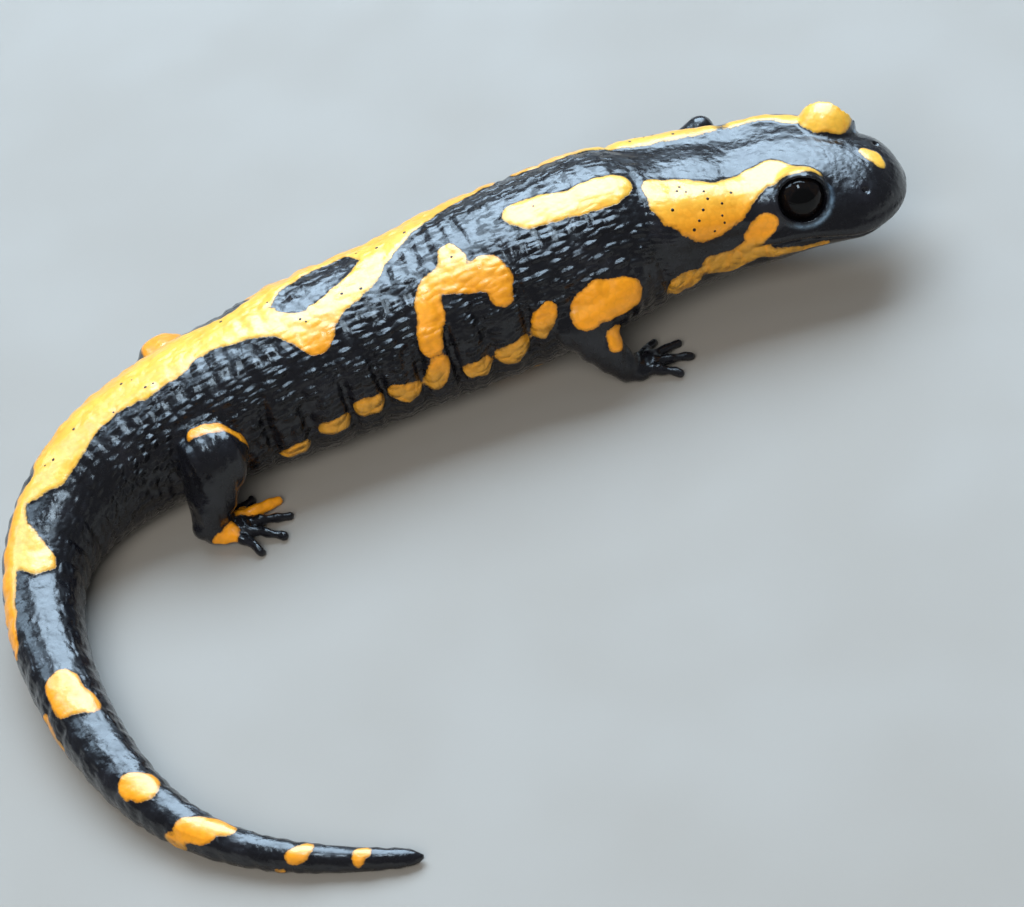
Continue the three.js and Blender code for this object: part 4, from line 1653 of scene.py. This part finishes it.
@dataclass
class Skin:
    """The one skin over head, trunk, tail and legs."""

    flesh: Flesh
    shift: Array
    nodes: tuple[str, ...]
    yellow_rise: float = 0.16
    wave_rise: float = 0.11
    ridge_step: float = 1.8
    ridge_sway: float = 0.5
    ridge_grain: float = 3.0
    pebble_rise: float = 0.05
    pebble_size: float = 0.9
    lobe_size: float = 2.1
    lobe_rise: float = 0.32
    lobe_along: tuple[float, float] = (12.0, 22.0)
    warmth: Warmth = Warmth()
    flank: Zone = Zone(84.0, 48.0)
    back_loose: float = 0.42
    loose_from: tuple[float, float] = (24.0, 36.0)
    loose_until: tuple[float, float] = (92.0, 104.0)
    tail_loose: float = 0.3
    gland_along: Zone = Zone(24.6, 4.6)
    gland_round: Zone = Zone(46.0, 22.0)
    back_round: Zone = Zone(10.0, 9.0, 2.0)
    back_from: tuple[float, float] = (32.0, 40.0)
    back_until: tuple[float, float] = (96.0, 110.0)
    back_pores: float = 0.35

    def ruffle(self, at: Array, turn: Array) -> Array:
        """Finds how loose the skin is, most on the flanks.

        Args:
            at: distances behind the tip of the snout.
            turn: degrees round the body from the middle of the back.

        Returns:
            Its looseness at each point, from 0 to 1.
        """
        trunk = self.back_loose + (1.0 - self.back_loose) * self.flank.share(turn)
        tail = 1.0 - (1.0 - self.tail_loose) * ease(*self.loose_until, at)
        return trunk * tail * ease(*self.loose_from, at)

    def relief(self, at: Array, turn: Array, points: Array, marking: Array) -> Array:
        """Shapes the skin's own relief.

        Args:
            at: distances behind the tip of the snout.
            turn: degrees round the body from the middle of the back.
            points: the points of the skin.
            marking: their distances to the yellow.

        Returns:
            How far loose skin, grains and yellow stand out at each.
        """
        loose = self.ruffle(at, turn)
        sway = self.ridge_sway * LatticeNoise(24).at(points / self.ridge_grain)
        ridges = np.cos(2.0 * np.pi * (at + sway) / self.ridge_step)
        pebbles = LatticeNoise(22).at(points / self.pebble_size) * ease(2.0, 26.0, at)
        yellow = 1.0 - ease(-0.35, 0.25, marking)
        lobes = self.lobes(points) * (0.35 + 0.65 * loose) * ease(*self.lobe_along, at)
        rise = self.wave_rise * ridges * loose * (1.0 - 0.6 * yellow) + self.pebble_rise * pebbles
        rise += yellow * (self.yellow_rise + self.lobe_rise * lobes)
        return rise * ease(0.0, 0.5, points[:, 2])

    def lobes(self, points: Array) -> Array:
        """Returns the height of soft lobes at each point, from about -0.45 in the creases to 0.4."""
        return np.sqrt(np.abs(LatticeNoise(23).at(points / self.lobe_size)) + 0.01) - 0.55

    def build(self) -> bpy.types.Object:
        """Makes the skin, marks and ruffles it, and puts it in place of the nodes of flesh.

        Returns:
            The skin.
        """
        mesh, points, out = FleshMesher(self.flesh).build()
        line = self.flesh.line
        at, right = line.locate(points[:, :2])
        lift = points[:, 2] - line.along(Measure.HEIGHT, at)
        wide = line.along(Measure.WIDE, at)
        tall = np.where(lift > 0.0, line.along(Measure.UP, at), line.along(Measure.DOWN, at))
        turn = np.abs(self.flesh.turn_of(right, lift, wide, tall))
        marking = Markings(self.flesh).distance(points)
        on_trunk = 1.0 - ease(0.15, 1.6, self.flesh.trunk(at, right, points[:, 2]))
        rise = self.relief(at, turn, points, marking)
        arc = np.copysign(np.radians(turn) * (wide + tall) / 2.0, right)
        put_values(mesh, "marking", marking)
        put_values(mesh, "unrolled", np.stack([at, arc, 0.0 * at], axis=1))
        put_values(mesh, "ruffle", on_trunk * self.ruffle(at, turn))
        put_values(mesh, "warmth", self.warmth.of(at, turn, on_trunk))
        # the creases between the lobes, which get a painted shade of orange
        put_values(mesh, "crease_shade", bell((self.lobes(points) + 0.45) / 0.2))
        # where the lower lids carry their painted highlight
        put_values(mesh, "lid_highlight", sum(lids.highlight_share(points) for lids in self.flesh.lids))
        put_values(mesh, "pores", self.pore_share(at, turn, marking, on_trunk))
        moved = points + out * rise[:, None] + self.shift
        mesh.vertices.foreach_set("co", (moved * MM).ravel())
        mesh.update()
        piece = add_piece("skin", mesh, SkinFinish().build())
        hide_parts(*self.nodes)
        return piece

    def pore_share(self, at: Array, turn: Array, marking: Array, on_trunk: Array) -> Array:
        """Spreads the gland pores.

        Args:
            at: distances behind the tip of the snout.
            turn: degrees round the body from the middle of the back.
            marking: distances to the yellow, below zero inside it.
            on_trunk: how far each point is on the trunk and not on a leg, from 0 to 1.

        Returns:
            How thickly the pores stand at each point, from 0 to 1.
        """
        gland = self.gland_along.share(at) * self.gland_round.share(turn)
        along = ease(*self.back_from, at) * (1.0 - ease(*self.back_until, at))
        back = self.back_pores * self.back_round.share(turn) * along
        return (gland + back) * (marking < -0.5) * on_trunk


@dataclass(frozen=True)
class Eye:
    """One ball of an eye, a little more domed in front."""

    node: str
    lids: Lids
    rings: int = 40
    sides: int = 56
    dome: float = 0.05
    dome_angle: float = 38.0

    def build(self, material: bpy.types.Material) -> bpy.types.Object:
        """Makes the eye in the place and size of its node.

        Args:
            material: its finish.

        Returns:
            The eye.
        """
        low, high = (np.array(corner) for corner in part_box(self.node))
        middle, radius = (low + high) / 2.0, float((high - low).mean()) / 2.0
        angle = np.linspace(0.0, np.pi, self.rings + 1)[1:-1]
        bulge = radius * (1.0 + self.dome * bell(np.degrees(angle) / self.dome_angle))
        turn = np.linspace(0.0, 2.0 * np.pi, self.sides, endpoint=False)
        ring = np.stack([np.cos(turn), np.sin(turn)], axis=1) @ np.stack([self.lids.fore, self.lids.top])
        out = self.lids.out
        rows = [middle + r * (math.cos(a) * out + math.sin(a) * ring) for a, r in zip(angle, bulge)]
        front = middle + out * radius * (1.0 + self.dome)
        points = np.vstack([front, *rows, middle - out * radius])
        mesh = bpy.data.meshes.new(self.node)
        mesh.from_pydata(points.tolist(), [], self.faces())
        work = bmesh.new()
        work.from_mesh(mesh)
        bmesh.ops.recalc_face_normals(work, faces=work.faces)
        work.to_mesh(mesh)
        work.free()
        degrees = np.degrees(np.concatenate([[0.0], np.repeat(angle, self.sides), [np.pi]]))
        put_values(mesh, "from_pupil", degrees)
        piece = add_piece(f"{self.node}_ball", mesh, material)
        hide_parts(self.node)
        return piece

    def faces(self) -> list[tuple[int, ...]]:
        """Joins the points of the rings and the two poles.

        Returns:
            The faces, as numbers of points.
        """
        count, sides = self.rings - 1, self.sides
        after = [(i + 1) % sides for i in range(sides)]
        faces: list[tuple[int, ...]] = [(0, 1 + i, 1 + after[i]) for i in range(sides)]
        for row in range(count - 1):
            first, second = 1 + row * sides, 1 + (row + 1) * sides
            faces += [(first + i, second + i, second + after[i], first + after[i]) for i in range(sides)]
        last = 1 + (count - 1) * sides
        faces += [(last + i, last + sides, last + after[i]) for i in range(sides)]
        return faces


@dataclass(frozen=True)
class GlandPores:
    """The small dark pores that stand on the glands and along the yellow of the back."""

    radius: float = 0.17
    height: float = 0.3  # of the radius
    spacing: float = 0.75
    density: float = 0.55  # to a square millimetre
    sizes: tuple[float, float] = (0.65, 1.2)
    seed: int = 7

    def tree(self, material: bpy.types.Material) -> bpy.types.NodeTree:
        """Writes the nodes that set a low bead on each pore.

        Args:
            material: the beads' finish.

        Returns:
            The group of nodes, with the pores' sizes as its inputs.
        """
        group = bpy.data.node_groups.new("gland_pores", "GeometryNodeTree")
        sockets = {"Geometry": "Geometry", "Seed": "Int"}
        for name in ("Geometry", "Radius", "Height", "Spacing", "Density", "Seed"):
            kind = f"NodeSocket{sockets.get(name, 'Float')}"
            group.interface.new_socket(name, in_out="INPUT", socket_type=kind)
        group.interface.new_socket("Geometry", in_out="OUTPUT", socket_type="NodeSocketGeometry")
        g = Nodes(group)
        given = g.node("NodeGroupInput").outputs
        share = g.node("GeometryNodeInputNamedAttribute", {"Name": "pores"}, data_type="FLOAT")
        strewn = g.node(
            "GeometryNodeDistributePointsOnFaces",
            {
                "Mesh": given["Geometry"],
                "Distance Min": given["Spacing"],
                "Density Max": given["Density"],
                "Density Factor": share.outputs["Attribute"],
                "Seed": given["Seed"],
            },
            distribute_method="POISSON",
        ).outputs
        ball = g.node("GeometryNodeMeshIcoSphere", {"Radius": given["Radius"], "Subdivisions": 2})
        squash = g.node("ShaderNodeCombineXYZ", {"X": 1.0, "Y": 1.0, "Z": given["Height"]})
        shape = {"Geometry": ball.outputs["Mesh"], "Scale": squash.outputs[0]}
        bead = g.node("GeometryNodeTransform", shape).outputs["Geometry"]
        random = {2: self.sizes[0], 3: self.sizes[1], "Seed": given["Seed"]}
        size = g.node("FunctionNodeRandomValue", random, data_type="FLOAT")
        setting = {"Points": strewn["Points"], "Rotation": strewn["Rotation"], "Instance": bead}
        setting["Scale"] = size.outputs[1]
        beads = g.node("GeometryNodeInstanceOnPoints", setting).outputs["Instances"]
        real = g.node("GeometryNodeRealizeInstances", {"Geometry": beads}).outputs["Geometry"]
        coat = g.node("GeometryNodeSetMaterial", {"Geometry": real, "Material": material})
        g.node("NodeGroupOutput", {"Geometry": coat.outputs["Geometry"]})
        return group

    def build(self, skin: bpy.types.Object) -> bpy.types.Object:
        """Strews the pores over the skin by the share of pores that it stores.

        Args:
            skin: the skin.

        Returns:
            All pores as one piece.
        """
        material = PoreFinish().build()
        carrier = bpy.data.objects.new("pore_carrier", skin.data.copy())
        bpy.context.scene.collection.objects.link(carrier)
        modifier = carrier.modifiers.new("pores", "NODES")
        modifier.node_group = self.tree(material)
        values = {
            "Radius": self.radius * MM,
            "Height": self.height,
            "Spacing": self.spacing * MM,
            "Density": self.density / MM**2,
            "Seed": self.seed,
        }
        for item in modifier.node_group.interface.items_tree:
            if item.in_out == "INPUT" and item.name in values:
                modifier[item.identifier] = values[item.name]
        seen = carrier.evaluated_get(bpy.context.evaluated_depsgraph_get())
        mesh = bpy.data.meshes.new_from_object(seen)
        carrier.modifiers.remove(modifier)
        bpy.data.objects.remove(carrier)
        return add_piece("gland_pores", mesh, material)


# ---- studio -------------------------------------------------------------------------------------


@dataclass(frozen=True)
class Camera:
    """Looks down on the animal's right side from afar."""

    shift: Array
    elevation: float = 42.0
    roll: float = 16.0
    distance: float = 300.0
    aim_height: float = 5.0
    lens: float = 100.2
    sensor: float = 36.0
    clip: tuple[float, float] = (0.01, 20.0)

    def build(self) -> bpy.types.Object:
        """Sets up the camera and looks through it.

        Returns:
            The camera.
        """
        up, tilt = math.radians(self.elevation), math.radians(self.roll)
        back = Vector((0.0, -math.cos(up), math.sin(up)))
        right = Vector((1.0, 0.0, 0.0))
        over = back.cross(right)
        across = right * math.cos(tilt) - over * math.sin(tilt)
        upwards = right * math.sin(tilt) + over * math.cos(tilt)
        target = Vector(self.shift) + Vector((0.0, 0.0, self.aim_height))
        turn = Matrix((across, upwards, back)).transposed().to_4x4()
        data = bpy.data.cameras.new("camera")
        data.lens, data.sensor_width = self.lens, self.sensor
        data.clip_start, data.clip_end = self.clip
        camera = bpy.data.objects.new("camera", data)
        camera.matrix_world = Matrix.Translation((target + back * self.distance) * MM) @ turn
        bpy.context.scene.collection.objects.link(camera)
        bpy.context.scene.camera = camera
        return camera


@dataclass(frozen=True)
class Softbox:
    """One soft lamp that looks at the animal."""

    name: str
    place: tuple[float, float, float]
    size: tuple[float, float]
    power: float
    colour: Colour
    mirrored: bool = True  # whether glossy skin shows it
    lights: bool = True  # whether it also lights dull surfaces

    def build(self) -> bpy.types.Object:
        """Hangs the lamp.

        Returns:
            The lamp.
        """
        data = bpy.data.lights.new(self.name, "AREA")
        data.shape = "RECTANGLE"
        data.size, data.size_y = self.size
        data.energy, data.color = self.power, self.colour
        lamp = bpy.data.objects.new(self.name, data)
        lamp.location = self.place
        lamp.visible_glossy, lamp.visible_diffuse = self.mirrored, self.lights
        lamp.rotation_mode = "QUATERNION"
        lamp.rotation_quaternion = (-Vector(self.place)).to_track_quat("-Z", "Y")
        bpy.context.scene.collection.objects.link(lamp)
        return lamp


@dataclass(frozen=True)
class Studio:
    """A plain pale floor and soft light, coolest from above and behind."""

    floor_half: float = 3.0
    sky: Colour = (0.72, 0.78, 0.86)
    sky_strength: float = 0.18
    lamps: tuple[Softbox, ...] = (
        Softbox("sky_lamp", (0.0, 0.46, 0.58), (0.90, 0.56), 12.6, (0.70, 0.85, 1.0), False),
        Softbox("sheen_lamp", (0.12, 0.46, 0.58), (0.64, 0.56), 14.4, (0.60, 0.80, 1.0), True, False),
        Softbox("side_lamp", (-0.54, 0.46, 0.58), (0.20, 0.50), 2.0, (0.56, 0.78, 1.0), True, False),
        Softbox("window_lamp", (-0.06, 0.00, 0.80), (0.20, 0.12), 1.6, (0.66, 0.84, 1.0), True, False),
        Softbox("front_lamp", (-0.20, -0.60, 0.60), (0.60, 0.60), 5.8, (1.0, 0.96, 0.90), False),
    )

    def build(self) -> None:
        """Adds floor, lamps and sky."""
        half = self.floor_half
        mesh = bpy.data.meshes.new("floor")
        corners = [(-half, -half, 0.0), (half, -half, 0.0), (half, half, 0.0), (-half, half, 0.0)]
        mesh.from_pydata(corners, [], [(0, 1, 2, 3)])
        mesh.materials.append(FloorFinish().build())
        floor = bpy.data.objects.new("floor", mesh)
        bpy.context.scene.collection.objects.link(floor)
        for lamp in self.lamps:
            lamp.build()
        world = bpy.data.worlds.new("studio")
        world.use_nodes = True
        background = world.node_tree.nodes["Background"]
        background.inputs["Color"].default_value = (*self.sky, 1.0)
        background.inputs["Strength"].default_value = self.sky_strength
        bpy.context.scene.world = world
        bpy.context.scene.view_settings.view_transform = "Standard"


def main() -> None:
    """Builds the skin, eyes, pores and studio, and reports each piece."""
    logging.basicConfig(level=logging.INFO, format="%(name)s: %(message)s")
    flesh = Flesh()
    eyes = {"eye_right": flesh.lids[0], "eye_left": flesh.lids[1]}
    centres = [np.add(*(np.array(corner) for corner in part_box(node))) / 2.0 / MM for node in eyes]
    shift = np.mean([centre - lids.centre for centre, lids in zip(centres, eyes.values())], axis=0)
    shift[2] = 0.0
    nodes = tuple(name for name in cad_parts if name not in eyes)
    skin = Skin(flesh, shift, nodes).build()
    LOG.info("%s has %d points in place of %d nodes", skin.name, len(skin.data.vertices), len(nodes))
    eye_material = EyeFinish().build()
    for node, lids in eyes.items():
        eye = Eye(node, lids).build(eye_material)
        LOG.info("%s has %d points", eye.name, len(eye.data.vertices))
    pores = GlandPores().build(skin)
    LOG.info("%s has %d points", pores.name, len(pores.data.vertices))
    Camera(shift).build()
    Studio().build()


if __name__ == "__main__":
    main()
